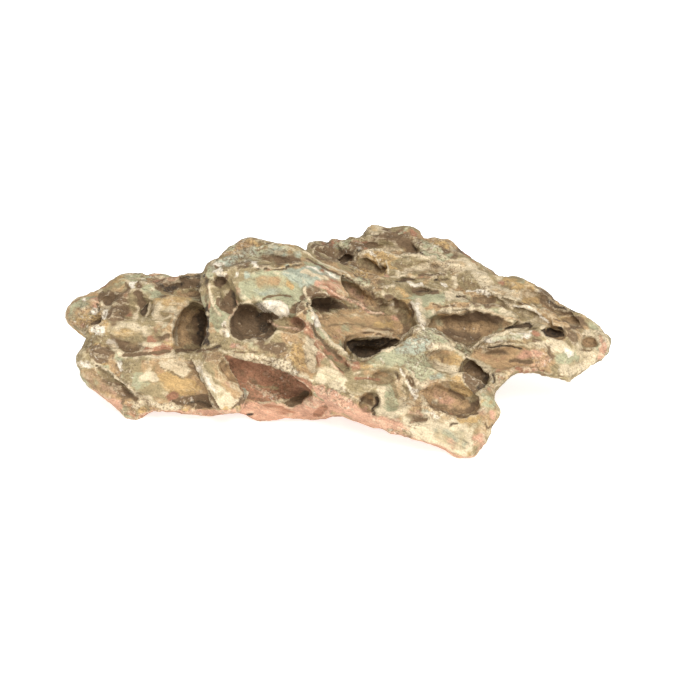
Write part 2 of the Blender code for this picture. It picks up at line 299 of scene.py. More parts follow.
def scallops(points: np.ndarray, size: float, seed: int) -> np.ndarray:
    """Gives bowl-shaped dents that meet in sharp ridges.

    Args:
        points: Places in millimetres.
        size: Width of a dent in millimetres.
        seed: Shifts the pattern.

    Returns:
        0 on the ridges and -1 in the middle of each dent.
    """
    shift = Vector([seed * part for part in SCALLOP_SHIFT])
    nearest = np.array([noise.voronoi(Vector(p) + shift)[0][0] for p in points / size])
    return -np.clip(1.0 - (nearest / SCALLOP_REACH) ** 2, 0.0, 1.0)


@dataclass(frozen=True)
class Beds:
    """How the clay's thin beds run in the picture.

    Each anchor is a picture place and the beds' slope there, in degrees down to the right. Between the
    anchors the slope changes smoothly, and the beds' coordinates are relaxed until they follow it. The
    beds rise into the stone by the lean. The edge gap, in steps, keeps places inside the grid. The other
    sizes are in millimetres.
    """

    view: PhotoView = PhotoView()
    anchors: tuple[tuple[float, float, float], ...] = (
        (85, 310, 12), (150, 300, -5), (130, 335, 8), (180, 300, 0), (100, 380, 38), (150, 380, 12),
        (185, 390, 15), (210, 375, 55), (240, 250, -20), (250, 285, 15), (290, 275, 38), (330, 275, 40),
        (250, 325, 20), (300, 320, 55), (280, 350, 22), (270, 375, 25), (330, 350, 45), (350, 320, 0),
        (375, 350, -8), (345, 290, 30), (400, 320, -60), (420, 320, 60), (340, 245, 8), (400, 240, 8),
        (370, 270, 10), (420, 270, 12), (440, 300, 10), (470, 320, -4), (520, 300, 25), (510, 340, -12),
        (500, 360, 8), (570, 330, 40), (600, 350, 35), (450, 365, 20), (440, 395, 25), (400, 390, 50),
        (350, 400, 28), (440, 435, 32), (475, 410, 60), (310, 405, 12),
    )
    step: float = 5.0
    half_size: tuple[float, float] = (155.0, 70.0)
    rounds: int = 2500
    anchor_blur: float = 200.0
    edge_gap: float = 0.001
    lean: float = 0.25
    wander: float = 1.2
    wander_size: float = 22.0

    def coordinates(self, surface: Surface) -> np.ndarray:
        """Works out each vertex's place in the beds.

        Args:
            surface: The stone's surface.

        Returns:
            For each vertex its place along the beds, across them and into the stone, in millimetres.
        """
        sides = [np.arange(-half, half + self.step, self.step) for half in self.half_size]
        grid = np.stack(np.meshgrid(*sides, indexing="ij"), -1)
        slope = self._slope(grid)
        along = self._relaxed(grid, np.stack((np.cos(slope), -np.sin(slope)), -1))
        over = self._relaxed(grid, np.stack((np.sin(slope), np.cos(slope)), -1))
        depth = -(surface.places - np.array(self.view.centre)) @ self.view.to_eye
        cells = (self.view.flat(self.view.pixels(surface.places)) + self.half_size) / self.step
        x, y = self._between(along, cells), self._between(over, cells) + self.lean * depth
        y += self.wander * clouds(surface.places, self.wander_size, Seed.BED_WANDER, octaves=2)
        return np.column_stack((x, y, depth))

    def _slope(self, grid: np.ndarray) -> np.ndarray:
        """Gives the beds' slope over the grid: the anchors' slopes, the nearest ones most."""
        anchors = np.array(self.anchors, dtype=float)
        places, slopes = self.view.flat(anchors[:, :2]), np.radians(anchors[:, 2])
        reach = np.linalg.norm(grid[:, :, None] - places, axis=-1)
        weight = 1.0 / (reach**3 + self.anchor_blur)
        weight /= weight.sum(-1, keepdims=True)
        return np.arctan2((weight * np.sin(slopes)).sum(-1), (weight * np.cos(slopes)).sum(-1))

    def _between(self, layer: np.ndarray, cells: np.ndarray) -> np.ndarray:
        """Reads a grid between its places.

        Args:
            layer: The grid's values.
            cells: Where to read it, in steps from its first corner.

        Returns:
            The value at each cell place.
        """
        within = np.clip(cells, 0.0, np.array(layer.shape) - 1.0 - self.edge_gap)
        left, low = within.astype(int).T
        right_share, high_share = (within - within.astype(int)).T
        bottom = layer[left, low] * (1 - right_share) + layer[left + 1, low] * right_share
        top = layer[left, low + 1] * (1 - right_share) + layer[left + 1, low + 1] * right_share
        return bottom * (1 - high_share) + top * high_share

    def _relaxed(self, grid: np.ndarray, slope: np.ndarray) -> np.ndarray:
        """Finds the coordinate whose rise over the grid fits the wanted slope best.

        Args:
            grid: The grid's places in millimetres.
            slope: The wanted rise per millimetre, to the right and up.

        Returns:
            The coordinate at each place of the grid.
        """
        layer = (grid * slope.mean((0, 1))).sum(-1)
        rise_x = self.step * (slope[1:, :, 0] + slope[:-1, :, 0]) / 2
        rise_y = self.step * (slope[:, 1:, 1] + slope[:, :-1, 1]) / 2
        neighbours = np.full(layer.shape, 4.0)
        neighbours[[0, -1], :] -= 1
        neighbours[:, [0, -1]] -= 1
        for _ in range(self.rounds):
            total = np.zeros_like(layer)
            total[1:] += layer[:-1] + rise_x
            total[:-1] += layer[1:] - rise_x
            total[:, 1:] += layer[:, :-1] + rise_y
            total[:, :-1] += layer[:, 1:] - rise_y
            layer = total / neighbours
        return layer


@dataclass(frozen=True)
class Mark:
    """One feature of the stone, along a line in the picture.

    Width is the reach to each side of the line and rise the height, both in millimetres. The cover is the
    share of the surface that the mark's clay takes. A rise below zero pushes the surface in.
    """

    form: Form
    clay: Clay
    line: tuple[tuple[float, ...], ...]
    width: float
    rise: float = 0.0
    cover: float = 0.9

    # How far a mark and its frayed edge can reach: widths of the mark, and pixels on top.
    reach_widths: ClassVar[float] = 1.5
    reach_pixels: ClassVar[float] = 10.0
    # Where a line fades out past and before its ends, in widths, and at most in shares of its length. The
    # least, in pixels, is added to that share.
    end_past: ClassVar[float] = 0.6
    end_before: ClassVar[float] = 1.2
    end_share: ClassVar[float] = 0.3
    end_least: ClassVar[float] = 0.01
    ridge_power: ClassVar[float] = 1.5
    slot_wall: ClassVar[float] = 0.35
    slot_end: ClassVar[float] = 0.6
    paint_end: ClassVar[float] = 0.5

    def near(self, pixels: np.ndarray, seen: np.ndarray, view: PhotoView) -> np.ndarray:
        """Finds the vertices that the mark can reach.

        Args:
            pixels: Picture places.
            seen: How far each vertex is in sight.
            view: The photograph's view, for its scale.

        Returns:
            The numbers of the vertices.
        """
        reach = self.reach_widths * self.width * view.pixels_per_mm + self.reach_pixels
        low, high = np.min(self.line, axis=0) - reach, np.max(self.line, axis=0) + reach
        return np.flatnonzero(np.all((pixels > low) & (pixels < high), axis=1) & (seen > 0.0))

    def measure(self, pixels: np.ndarray, view: PhotoView) -> tuple[np.ndarray, np.ndarray, np.ndarray]:
        """Measures picture places against the line.

        Args:
            pixels: Picture places.
            view: The photograph's view, for its scale.

        Returns:
            Distance in widths, the side (1 right of the line's direction, -1 left), and a taper that
            falls to 0 at the ends of the line.
        """
        best = np.full(len(pixels), np.inf)
        side = np.ones(len(pixels))
        at = np.zeros(len(pixels))
        corners = np.array(self.line + self.line[:1] if self.form.closed else self.line)
        lengths = np.linalg.norm(np.diff(corners, axis=0), axis=1)
        start = 0.0
        for begin, end, length in zip(corners[:-1], corners[1:], lengths):
            run = (end - begin) / length
            offset = pixels - begin
            share = np.clip(offset @ run, 0.0, length)
            gap = np.linalg.norm(offset - share[:, None] * run, axis=1)
            nearer = gap < best
            best = np.where(nearer, gap, best)
            turn = run[0] * offset[:, 1] - run[1] * offset[:, 0]
            side = np.where(nearer, np.where(turn >= 0, 1.0, -1.0), side)
            at = np.where(nearer, start + share, at)
            start += length
        width = self.width * view.pixels_per_mm
        if self.form.closed:
            inside = self._inside(pixels)
            return np.maximum(1.0 + np.where(inside, -best, best) / width, 0.0), side, np.ones(len(pixels))
        ends = np.minimum(at, start - at)
        full = min(self.end_before * width, self.end_share * start + self.end_least)
        return best / width, side, smoothstep(-self.end_past * width, full, ends)

    def _inside(self, pixels: np.ndarray) -> np.ndarray:
        """Tells which picture places lie inside the closed line."""
        inside = np.zeros(len(pixels), dtype=bool)
        across, down = pixels.T
        for (x0, y0), (x1, y1) in zip(self.line, self.line[1:] + self.line[:1]):
            if y0 != y1:
                passes = (y0 > down) != (y1 > down)
                inside ^= passes & (across < (x1 - x0) * (down - y0) / (y1 - y0) + x0)
        return inside

    def profile(self, gap: np.ndarray, side: np.ndarray, taper: np.ndarray) -> np.ndarray:
        """Gives the mark's height in millimetres.

        Args:
            gap: Distance from the line in widths.
            side: Side of the line.
            taper: Share of the height that is left towards the line's ends.

        Returns:
            How far each vertex is moved.
        """
        inside = np.clip(1.0 - gap, 0.0, 1.0)
        if self.form is Form.RIDGE:
            shape = inside**self.ridge_power * taper
        elif self.form is Form.LEDGE:
            shape = np.where(side > 0, inside, -inside) * taper
        elif self.form is Form.BASIN:
            shape = smoothstep(0.0, 1.0, inside)
        elif self.form is Form.SLOT:
            shape = smoothstep(0.0, self.slot_wall, inside) * smoothstep(0.0, self.slot_end, taper)
        elif self.form in (Form.STAIN, Form.FIELD):
            shape = np.zeros_like(inside)
        else:
            shape = (1.0 - (1.0 - inside) ** 2) ** 2 * taper
        return self.rise * shape

    def paint(self, gap: np.ndarray, taper: np.ndarray, strength: np.ndarray | float) -> np.ndarray:
        """Gives the share of each vertex that the mark's clay takes.

        Args:
            gap: Distance from the line in widths.
            taper: Share of the mark that is left towards the line's ends.
            strength: How strongly the clay covers, about 1.

        Returns:
            Shares of 0 to 1.
        """
        _, fade_from, fade_to = self.form.value
        share = self.cover * strength * (1.0 - smoothstep(fade_from, fade_to, gap))
        return np.clip(share, 0.0, 1.0) * smoothstep(0.0, self.paint_end, taper)


def path(text: str) -> tuple[tuple[float, ...], ...]:
    """Reads picture places written as x,y x,y."""
    return tuple(tuple(float(part) for part in place.split(",")) for place in text.split())


def ridge(clay: Clay, line: str, width: float, rise: float, cover: float = 0.9) -> Mark:
    """Makes a sharp crest."""
    return Mark(Form.RIDGE, clay, path(line), width, rise, cover)


def mound(clay: Clay, line: str, width: float, rise: float, cover: float = 0.6) -> Mark:
    """Makes a rounded rise."""
    return Mark(Form.MOUND, clay, path(line), width, rise, cover)


def groove(clay: Clay, line: str, width: float, depth: float, cover: float = 0.9) -> Mark:
    """Makes a round-bottomed groove or dent."""
    return Mark(Form.GROOVE, clay, path(line), width, -depth, cover)


def slot(clay: Clay, line: str, width: float, depth: float, cover: float = 1.0) -> Mark:
    """Makes a steep-walled slot or pit."""
    return Mark(Form.SLOT, clay, path(line), width, -depth, cover)


def basin(clay: Clay, line: str, wall: float, depth: float, cover: float = 0.9) -> Mark:
    """Makes a hollow with a crisp rim; the line goes round it and the wall is as wide as given."""
    return Mark(Form.BASIN, clay, path(line), wall, -depth, cover)


def ledge(clay: Clay, line: str, width: float, rise: float, cover: float = 0.5) -> Mark:
    """Makes a step: the right-hand side of the line's direction stands out."""
    return Mark(Form.LEDGE, clay, path(line), width, rise, cover)


def field(clay: Clay, line: str, edge: float, cover: float = 0.8) -> Mark:
    """Colours the area inside a closed line, with an edge as soft as given."""
    return Mark(Form.FIELD, clay, path(line), edge, 0.0, cover)


def stain(clay: Clay, line: str, width: float, cover: float = 0.8) -> Mark:
    """Makes a coloured place without any height."""
    return Mark(Form.STAIN, clay, path(line), width, 0.0, cover)


# The great hollow in the middle, with its shelf, its throat and the cream rims round it. The near-black
# marks in its throat, caves and cracks are painted shade, and the brown in its grooves and caves is partly
# brown clay and partly painted shade.
GREAT_HOLLOW = (
    field(TAN, "313,314 330,312 350,308 362,309 370,315 392,316 401,322 404,333 392,337 375,336 350,338 "
          "344,346 332,340 320,328", 1.6, 0.85),
    stain(ROSE, "335,331 352,329 366,331", 2.0, 0.4),
    stain(BROWN, "320,322 345,321 370,323 394,327", 3.4, 0.3),
    stain(CREAM, "322,313 338,315 357,314 370,316", 1.4, 0.4),
    stain(OCHRE, "374,324 384,325 394,323", 1.8, 0.7),
    groove(BROWN, "328,326 345,324 360,325 376,329 396,331", 0.8, 0.5, 0.35),
    groove(BROWN, "316,318 326,319 330,318", 0.7, 0.5, 0.5),
    field(RUST, "320,280 334,278 348,285 372,286 378,297 386,303 384,312 374,314 364,308 350,300 335,292 "
          "322,287", 1.6, 0.5),
    field(ROSE, "322,281 340,284 356,290 372,304 368,310 350,298 335,290", 1.6, 0.6),
    field(BROWN, "352,287 371,287 377,298 386,304 382,312 372,311 364,302", 1.6, 0.4),
    # This tan field is partly the recess's own pale brown and partly painted light that lifts the shade
    # under its roof.
    field(TAN, "338,279 352,282 366,288 380,301 376,309 360,302 343,293", 1.6, 0.6),
    stain(ROSE, "344,284 354,290 364,299", 1.6, 0.4),
    stain(BROWN, "371,292 376,300 385,304", 1.0, 0.6),
    basin(BROWN, "309,295 320,292 330,295 349,305 352,308 338,310 331,309 330,312 318,312 "
          "312,309", 1.2, 0.9, 0.85),
    stain(DARK, "324,305 336,306 346,307", 1.2, 0.35),
    ridge(ROSE, "318,286 327,289 340,296 350,301 361,307 369,313 384,314", 1.3, 1.2, 0.9),
    basin(DARK, "346,343 352,340 362,339 385,338 400,340 396,346 388,350 376,354 366,359 356,358 "
          "350,351", 1.1, 3.0, 1.0),
    groove(BROWN, "362,333 372,333 382,335 393,339", 0.8, 0.7, 0.8),
    ridge(TAN, "347,341 354,338 366,336 385,336 394,338 401,339", 0.9, 0.7, 0.7),
    field(BROWN, "398,300 408,302 414,311 417,321 412,331 404,336 400,322 394,314", 1.8, 0.5),
    stain(OLIVE, "414,312 416,322 411,330", 1.6, 0.8),
    groove(BROWN, "385,296 392,297 397,301 396,308", 1.8, 0.9, 0.7),
    stain(OLIVE, "386,308 393,311", 2.2, 0.6),
    mound(WHITE, "392,304 395,307", 0.9, 0.5, 0.9),
    stain(ROSE, "392,317 397,319", 2.0, 0.5),
    groove(BROWN, "409,303 413,311 414,318", 1.0, 0.8, 0.8),
    mound(CREAM, "417,301 420,315 424,328", 3.6, 1.0, 0.8),
    mound(GREEN, "424,328 436,338 452,346 468,354", 3.6, 1.0, 0.6),
    field(SLATE, "404,338 418,332 432,340 430,352 412,356 392,354", 2.0, 0.6),
    ridge(WHITE, "410,301 416,308 421,320 425,331", 1.1, 0.7, 0.9),
    stain(WHITE, "416,303 419,314 423,326", 1.4, 0.8),
    stain(GREEN, "426,312 440,322", 3.0, 0.5),
    field(RUST, "305,316 312,321 322,337 338,352 352,362 356,370 345,367 328,354 316,342 "
          "307,328", 1.4, 0.6),
    groove(BROWN, "310,322 318,336 328,348 342,360", 1.4, 0.9, 0.8),
    stain(DARK, "311,326 318,337 325,344", 0.9, 0.6),
    ridge(CREAM, "305,287 308,300 311,309 316,321 320,331 332,343 345,354 352,359 360,361", 1.2, 1.6, 1.0),
    stain(WHITE, "312,311 315,318 319,327", 1.2, 0.9),
    ridge(CREAM, "360,361 367,358 380,352 391,349 398,345 404,337 410,333 417,330", 1.1, 1.2, 0.9),
    groove(DARK, "307,303 308,308 310,312", 0.8, 1.0),
)

# The upper left block, with its lump, its olive slope and the cave at its right. The near-black marks in its
# cave, pits and cracks are painted shade; its brown grooves are partly brown clay and partly painted shade.
LEFT_BLOCK = (
    field(GREEN, "66,319 70,304 80,296 96,295 92,304 98,316 92,320 76,322", 1.6, 0.5),
    stain(TAN, "76,309 84,312 90,308", 2.4, 0.6),
    stain(WHITE, "82,298 88,300", 0.9, 0.5),
    field(RUST, "72,322 90,321 92,327 85,332 77,328", 1.4, 0.5),
    field(GREEN, "112,284 121,276 135,274 152,277 142,282 128,281 116,287", 1.4, 0.8),
    stain(OLIVE, "104,291 112,288 120,285", 1.6, 0.7),
    field(BROWN, "108,293 120,287 130,288 133,300 130,311 120,322 110,320", 1.8, 0.7),
    stain(RUST, "121,291 127,297", 2.2, 0.5),
    stain(OCHRE, "112,299 116,308", 1.4, 0.5),
    stain(TAN, "112,314 120,311 124,316", 1.4, 0.6),
    stain(CREAM, "122,303 127,305", 0.9, 0.6),
    field(TAN, "148,278 160,279 158,285 144,284", 1.4, 0.8),
    field(GREEN, "141,284 152,285 162,291 164,298 152,300 144,293", 1.4, 0.8),
    field(BROWN, "134,290 143,291 150,302 146,314 142,318 138,308 134,299", 1.2, 0.75),
    groove(BROWN, "138,292 141,300 143,306", 2.4, 1.1, 0.7),
    basin(DARK, "150,301 143,307 140,312 143,318 148,311", 0.8, 1.8, 0.95),
    ridge(CREAM, "135,306 138,308 137,311", 1.2, 0.6, 0.9),
    ridge(CREAM, "151,301 149,312 145,318", 0.9, 0.8, 0.8),
    field(BROWN, "156,281 172,279 184,275 209,274 210,288 196,290 180,289 172,294 162,293 "
          "154,287", 1.6, 0.9),
    groove(DARK, "160,284 168,289 176,288 184,283", 2.2, 1.3, 0.6),
    slot(DARK, "164,291 170,287 176,285", 1.2, 1.0),
    stain(DARK, "180,276 192,277 206,275", 1.3, 0.8),
    stain(DARK, "198,285 207,282", 2.0, 0.6),
    mound(OLIVE, "180,290 192,289 204,291", 1.4, 0.6, 0.8),
    field(BROWN, "186,293 209,293 209,303 198,305 190,301", 1.4, 0.6),
    stain(GREEN, "192,298 203,300", 1.8, 0.5),
    mound(OCHRE, "163,307 173,303 184,304", 5.5, 1.4, 0.6),
    field(CREAM, "160,302 168,297 181,296 189,301 190,310 184,318 172,318 161,317", 1.4, 0.5),
    field(TAN, "162,302 168,298 181,297 188,302 188,310 182,316 172,316 163,315", 1.4, 0.6),
    stain(OCHRE, "168,303 180,302", 3.0, 0.5),
    stain(CREAM, "166,309 176,310 184,306", 2.2, 0.5),
    field(CREAM, "151,304 160,301 161,318 168,320 160,323 152,319", 1.2, 0.85),
    ridge(CREAM, "160,319 172,317 178,319", 0.9, 0.6, 0.9),
    field(BROWN, "158,323 170,320 178,322 179,333 168,337 157,333", 1.4, 0.5),
    stain(SLATE, "162,326 173,326", 1.8, 0.5),
    groove(BROWN, "154,336 160,339 170,336 182,335", 1.6, 0.9, 0.8),
    field(CREAM, "108,322 125,317 150,320 153,333 144,341 118,341 107,333", 2.0, 0.5),
    field(OLIVE, "108,322 125,317 150,320 153,333 144,341 118,341 107,333", 2.0, 0.5),
    stain(OCHRE, "114,334 130,331 148,327", 3.6, 0.5),
    stain(CREAM, "116,327 132,325 146,333", 2.4, 0.45),
    stain(OLIVE, "94,338 106,341", 3.0, 0.75),
    stain(CREAM, "144,329 150,331", 1.8, 0.8),
    stain(OLIVE, "150,327 156,334 162,341", 3.4, 0.6),
    field(BROWN, "156,336 178,333 190,341 196,350 180,346 162,342", 1.4, 0.55),
    stain(OCHRE, "163,342 174,345 184,349", 1.6, 0.7),
    stain(ROSE, "166,340 172,342", 1.2, 0.5),
    mound(CREAM, "140,344 152,345 160,344", 1.5, 0.5, 0.8),
    mound(CREAM, "181,342 189,344", 1.6, 0.5, 0.8),
    field(ROSE, "90,299 98,297 99,303 96,312 91,311", 1.2, 0.6),
    mound(WHITE, "92,309 94,312", 1.3, 0.5, 0.9),
    field(WHITE, "102,309 107,308 108,314 106,320 101,319", 0.9, 0.95),
    mound(WHITE, "104,296 110,294", 1.1, 0.4, 0.9),
    mound(CREAM, "102,303 106,306", 1.2, 0.4, 0.8),
    field(WHITE, "89,330 98,325 107,327 106,334 94,335", 1.0, 0.95),
    field(WHITE, "105,343 114,338 118,343 117,352 111,349", 1.0, 0.9),
    field(WHITE, "130,281 136,281 135,290 131,288", 0.8, 0.9),
    stain(WHITE, "120,342 128,344", 1.0, 0.4),
    groove(DARK, "97,304 99,308 98,313", 0.9, 0.8, 0.8),
    groove(DARK, "105,299 107,301", 0.8, 0.8),
    groove(BROWN, "126,283 129,288", 1.4, 0.8),
    groove(BROWN, "138,282 137,289", 1.2, 0.8),
    slot(DARK, "92,324 97,322 101,320", 1.2, 1.4),
    field(TAN, "168,324 176,308 184,302 196,304 198,318 197,334 190,346 176,350 168,340", 1.4, 0.9),
    field(OLIVE, "184,300 198,302 200,310 190,314 182,310", 1.4, 0.8),
    field(BROWN, "188,318 200,310 202,345 192,342 184,332", 2.4, 0.6),
    field(DARK, "200,309 208,303 211,325 209,344 200,348 197,335", 1.6, 0.9),
    # The cream and tan on the cave's left wall are painted light that lifts the shade the wall lies in.
    stain(CREAM, "179,311 175,322 174,334 177,345", 2.2, 0.75),
    stain(TAN, "184,314 181,326 182,340", 3.4, 0.6),
    stain(ROSE, "163,304 176,303", 3.0, 0.3),
)

# The skirt under the left block, with its gold lens. The near-black marks in its slots and cracks are
# painted shade; its brown grooves are partly brown clay and partly painted shade.
LEFT_SKIRT = (
    field(BROWN, "89,347 100,345 110,348 116,356 113,363 100,362 90,358", 1.2, 0.9),
    mound(OLIVE, "81,347 84,357", 3.0, 0.8, 0.6),
    stain(WHITE, "76,364 90,366", 2.2, 0.7),
    mound(CREAM, "110,343 117,351 126,357", 2.0, 0.5, 0.8),
    mound(WHITE, "119,363 123,370", 1.5, 0.5, 0.8),
    field(OLIVE, "120,358 150,356 156,362 140,370 130,378 125,370", 2.0, 0.7),
    groove(BROWN, "122,356 138,354 156,353 170,351", 1.6, 1.0, 0.9),
    stain(BROWN, "122,349 138,348", 2.6, 0.7),
    stain(TAN, "112,360 118,374", 2.6, 0.85),
    field(TAN, "78,371 92,368 104,376 118,385 136,397 137,402 128,408 108,402 92,393 84,384", 1.4, 0.9),
    field(BROWN, "80,371 92,368 104,378 118,386 134,397 137,401 128,402 110,395 95,389 86,385", 1.6, 0.5),
    field(ROSE, "84,385 95,391 112,398 126,404 124,410 105,403 92,395", 1.5, 0.85),
    stain(ROSE, "84,374 100,384 118,394", 3.0, 0.4),
    stain(BROWN, "100,374 116,384 130,396", 1.8, 0.6),
    basin(OLIVE, "94,367 102,367 112,375 120,383 112,383 102,377", 0.9, 1.0, 0.8),
    ledge(CREAM, "137,398 129,389 121,381 110,372 98,364", 3.0, 0.9, 0.0),
    ridge(CREAM, "97,363 110,371 122,380 132,388 138,397", 1.0, 0.8, 0.9),
    groove(BROWN, "120,386 129,393 136,401", 1.4, 0.8, 0.8),
    field(RUST, "122,404 134,402 140,410 138,419 128,417", 1.4, 0.5),
    stain(BROWN, "122,402 126,412", 1.6, 0.6),
    slot(DARK, "96,365 100,366", 0.8, 1.2),
    field(TAN, "133,374 142,363 160,357 180,356 190,360 197,372 205,386 198,392 170,390 150,384 "
          "138,382", 1.5, 0.6),
    field(GREEN, "130,372 142,370 150,384 148,392 138,392 131,384", 1.6, 0.75),
    mound(CREAM, "140,378 150,376 158,380", 2.6, 0.5, 0.85),
    field(CREAM, "158,361 172,359 186,363 191,371 184,377 171,371 161,367", 1.4, 0.95),
    field(OCHRE, "157,378 165,371 180,377 196,380 201,389 192,395 175,394 160,388", 1.5, 0.95),
    groove(BROWN, "160,367 170,371 182,377", 0.7, 0.4, 0.5),
    stain(RUST, "164,396 176,396", 2.0, 0.6),
    stain(OLIVE, "142,390 156,391 166,398", 2.2, 0.8),
    field(BROWN, "170,401 181,396 200,395 209,393 216,400 220,408 205,409 190,407 178,404", 1.2, 0.9),
    groove(DARK, "186,404 200,401 214,405", 1.4, 0.8, 0.6),
    stain(CREAM, "142,398 158,405 176,410", 2.4, 0.8),
    stain(OLIVE, "176,353 190,354 200,352", 2.4, 0.7),
    groove(BROWN, "176,350 190,350 206,350 216,348", 1.4, 1.0, 0.9),
    slot(DARK, "213,348 220,346", 1.5, 1.6),
)

# The pale slab that leans beside the skirt. Its brown edge grooves are partly brown clay and partly painted
# shade.
SLAB = (
    field(TAN, "202,354 216,349 223,353 232,372 242,398 232,400 214,376", 1.2, 0.95),
    field(BROWN, "202,354 216,349 223,353 232,372 240,392 232,392 214,373", 1.2, 0.5),
    stain(ROSE, "208,358 218,370 230,388", 1.6, 0.4),
    field(CREAM, "193,359 200,360 212,377 224,392 240,400 232,408 221,407 209,389 200,375", 1.2, 0.85),
    field(ROSE, "193,362 199,362 209,377 218,390 212,390 202,378", 1.2, 0.35),
    stain(WHITE, "198,366 208,382 220,398", 1.6, 0.6),
    ledge(CREAM, "221,408 210,391 200,374 191,357", 4.0, 1.2, 0.0),
    ledge(CREAM, "222,350 232,372 238,386 244,399", 4.0, 1.1, 0.0),
    groove(BROWN, "191,359 200,376 210,392 220,408", 0.7, 0.6, 0.9),
    groove(BROWN, "223,352 233,372 239,387 244,398", 0.7, 0.6, 0.9),
    groove(BROWN, "244,399 238,404 231,409", 0.7, 0.6, 0.8),
    field(SLATE, "239,383 246,386 250,396 246,400 242,392", 1.2, 0.9),
    stain(ROSE, "186,412 205,413 236,412", 1.6, 0.9),
)

# The middle dome, with its green face, its cave and the white lips round it. The near-black marks in its
# cave, in its cracks and under its ledge are painted shade; the brown in its grooves and basins is partly
# brown clay and partly painted shade.
DOME = (
    field(BROWN, "228,263 240,256 262,255 285,255 300,258 305,262 290,266 280,269 262,268 245,268 "
          "232,268", 1.6, 0.65),
    field(GREEN, "237,286 246,275 262,270 282,270 292,278 303,286 306,294 300,301 290,303 262,299 247,301 "
          "239,296", 1.6, 0.9),
    field(TAN, "252,279 262,275 280,275 292,282 290,290 272,286 258,288", 2.2, 0.65),
    stain(SLATE, "254,293 268,291 282,292", 2.6, 0.6),
    stain(OLIVE, "246,281 262,283 276,288 288,296", 3.0, 0.35),
    stain(ROSE, "235,287 240,296", 1.8, 0.5),
    stain(OLIVE, "284,272 296,279 309,287", 2.8, 0.45),
    stain(SLATE, "284,270 298,277 312,288", 3.6, 0.8),
    stain(OCHRE, "288,283 291,286", 1.6, 0.8),
    field(SLATE, "296,268 312,265 330,269 346,276 350,284 334,284 316,284 304,278", 1.6, 0.7),
    stain(CREAM, "302,271 320,277 340,284", 0.9, 0.8),
    stain(WHITE, "306,266 326,272 346,280", 0.7, 0.6),
    stain(ROSE, "314,282 330,283", 1.6, 0.6),
    field(SLATE, "208,266 214,260 228,256 232,262 224,268 212,278 207,276", 1.6, 0.6),
    stain(WHITE, "213,264 225,262", 1.8, 0.7),
    mound(WHITE, "217,271 223,274", 2.0, 0.5, 0.9),
    groove(BROWN, "215,266 218,268", 0.9, 0.6, 0.8),
    groove(BROWN, "221,265 225,268", 0.9, 0.6, 0.8),
    stain(GREEN, "208,268 212,277", 1.8, 0.8),
    field(TAN, "231,253 244,247 252,250 246,256 234,258", 1.4, 0.75),
    stain(OCHRE, "247,241 256,244", 1.6, 0.6),
    mound(GREEN, "257,250 266,246 280,247 296,250", 1.6, 0.5, 0.75),
    groove(BROWN, "256,251 268,249 284,251 298,255", 0.8, 0.5, 0.6),
    groove(DARK, "264,243 271,243", 0.8, 0.5, 0.7),
    field(WHITE, "250,262 258,261 259,266 252,268", 0.9, 0.8),
    stain(OLIVE, "260,258 270,262 274,267", 2.4, 0.8),
    field(SLATE, "214,262 235,249 262,243 300,250 302,260 262,261 232,267", 1.6, 0.5),
    stain(BROWN, "262,258 280,260 296,260", 2.0, 0.5),
    ledge(BROWN, "303,264 290,267 281,269 265,269 250,269", 2.4, 0.7, 0.0),
    groove(DARK, "252,269 265,269 281,270 290,267 303,264", 0.6, 0.5, 0.6),
    field(OLIVE, "229,272 238,272 246,279 238,284 231,280", 1.4, 0.8),
    stain(WHITE, "235,278 238,272", 0.7, 0.7),
    field(SLATE, "243,271 250,272 251,278 244,280", 1.2, 0.9),
    field(BROWN, "213,278 222,277 228,273 228,283 221,288 214,285", 1.0, 0.8),
    basin(BROWN, "229,288 235,292 238,300 236,308 230,316 222,312 216,305 214,298 222,297 "
          "227,292", 1.0, 0.9, 0.75),
    stain(DARK, "230,292 235,300 234,308", 1.6, 0.7),
    stain(OLIVE, "216,290 222,300", 2.2, 0.6),
    ridge(CREAM, "209,284 211,296 213,306 221,316", 1.2, 0.8, 0.85),
    field(GREEN, "209,308 216,314 222,320 220,334 213,332 209,320", 1.2, 0.8),
    stain(TAN, "211,322 213,334", 1.4, 0.8),
    mound(WHITE, "223,321 227,337", 1.5, 0.5, 0.9),
    groove(BROWN, "223,324 226,330 225,335", 0.6, 0.5, 0.8),
    ridge(ROSE, "237,300 238,306 233,313 229,319", 0.9, 0.7, 0.8),
    basin(BROWN, "238,305 246,303 255,308 260,312 270,312 284,315 278,320 269,321 274,328 275,334 268,340 "
          "252,340 240,341 232,337 229,326 232,315", 1.1, 2.4, 0.95),
    stain(DARK, "258,315 264,322 267,334", 3.2, 0.7),
    ridge(CREAM, "239,303 250,302 256,307 260,310", 0.9, 0.8, 0.85),
    basin(WHITE, "262,302 270,299 283,300 287,304 290,311 288,320 281,314 276,316 270,311 264,314 258,308 "
          "255,304", 0.8, -0.4, 0.9),
    mound(WHITE, "264,306 269,309", 1.4, 0.9, 0.9),
    mound(WHITE, "275,308 279,312 281,317", 1.5, 1.0, 0.9),
    mound(WHITE, "284,308 287,316", 1.3, 0.8, 0.9),
    stain(TAN, "276,300 284,301", 1.4, 0.5),
    groove(BROWN, "263,300 269,296 280,295 291,297", 0.9, 0.7, 0.85),
    groove(DARK, "289,320 290,311 294,305 302,301", 0.8, 1.0, 0.9),
    stain(BROWN, "293,311 298,305", 1.8, 0.75),
    ridge(TAN, "294,317 301,313 307,308", 1.2, 0.7, 0.8),
    ridge(ROSE, "267,320 275,325 283,328 295,329 304,331", 1.1, 0.9, 0.9),
    field(RUST, "286,320 300,317 309,326 316,342 308,338 300,330", 1.4, 0.7),
    mound(CREAM, "243,341 250,339 258,341", 1.2, 0.6, 0.85),
    stain(GREEN, "246,346 264,347", 2.2, 0.8),
    mound(ROSE, "233,345 245,349", 1.8, 0.6, 0.8),
    groove(BROWN, "306,258 313,262 322,267 335,273 345,277 352,281", 0.8, 0.8, 0.85),
    ridge(CREAM, "303,251 313,258 322,263 335,269 345,273 351,277", 1.1, 0.9, 0.9),
)
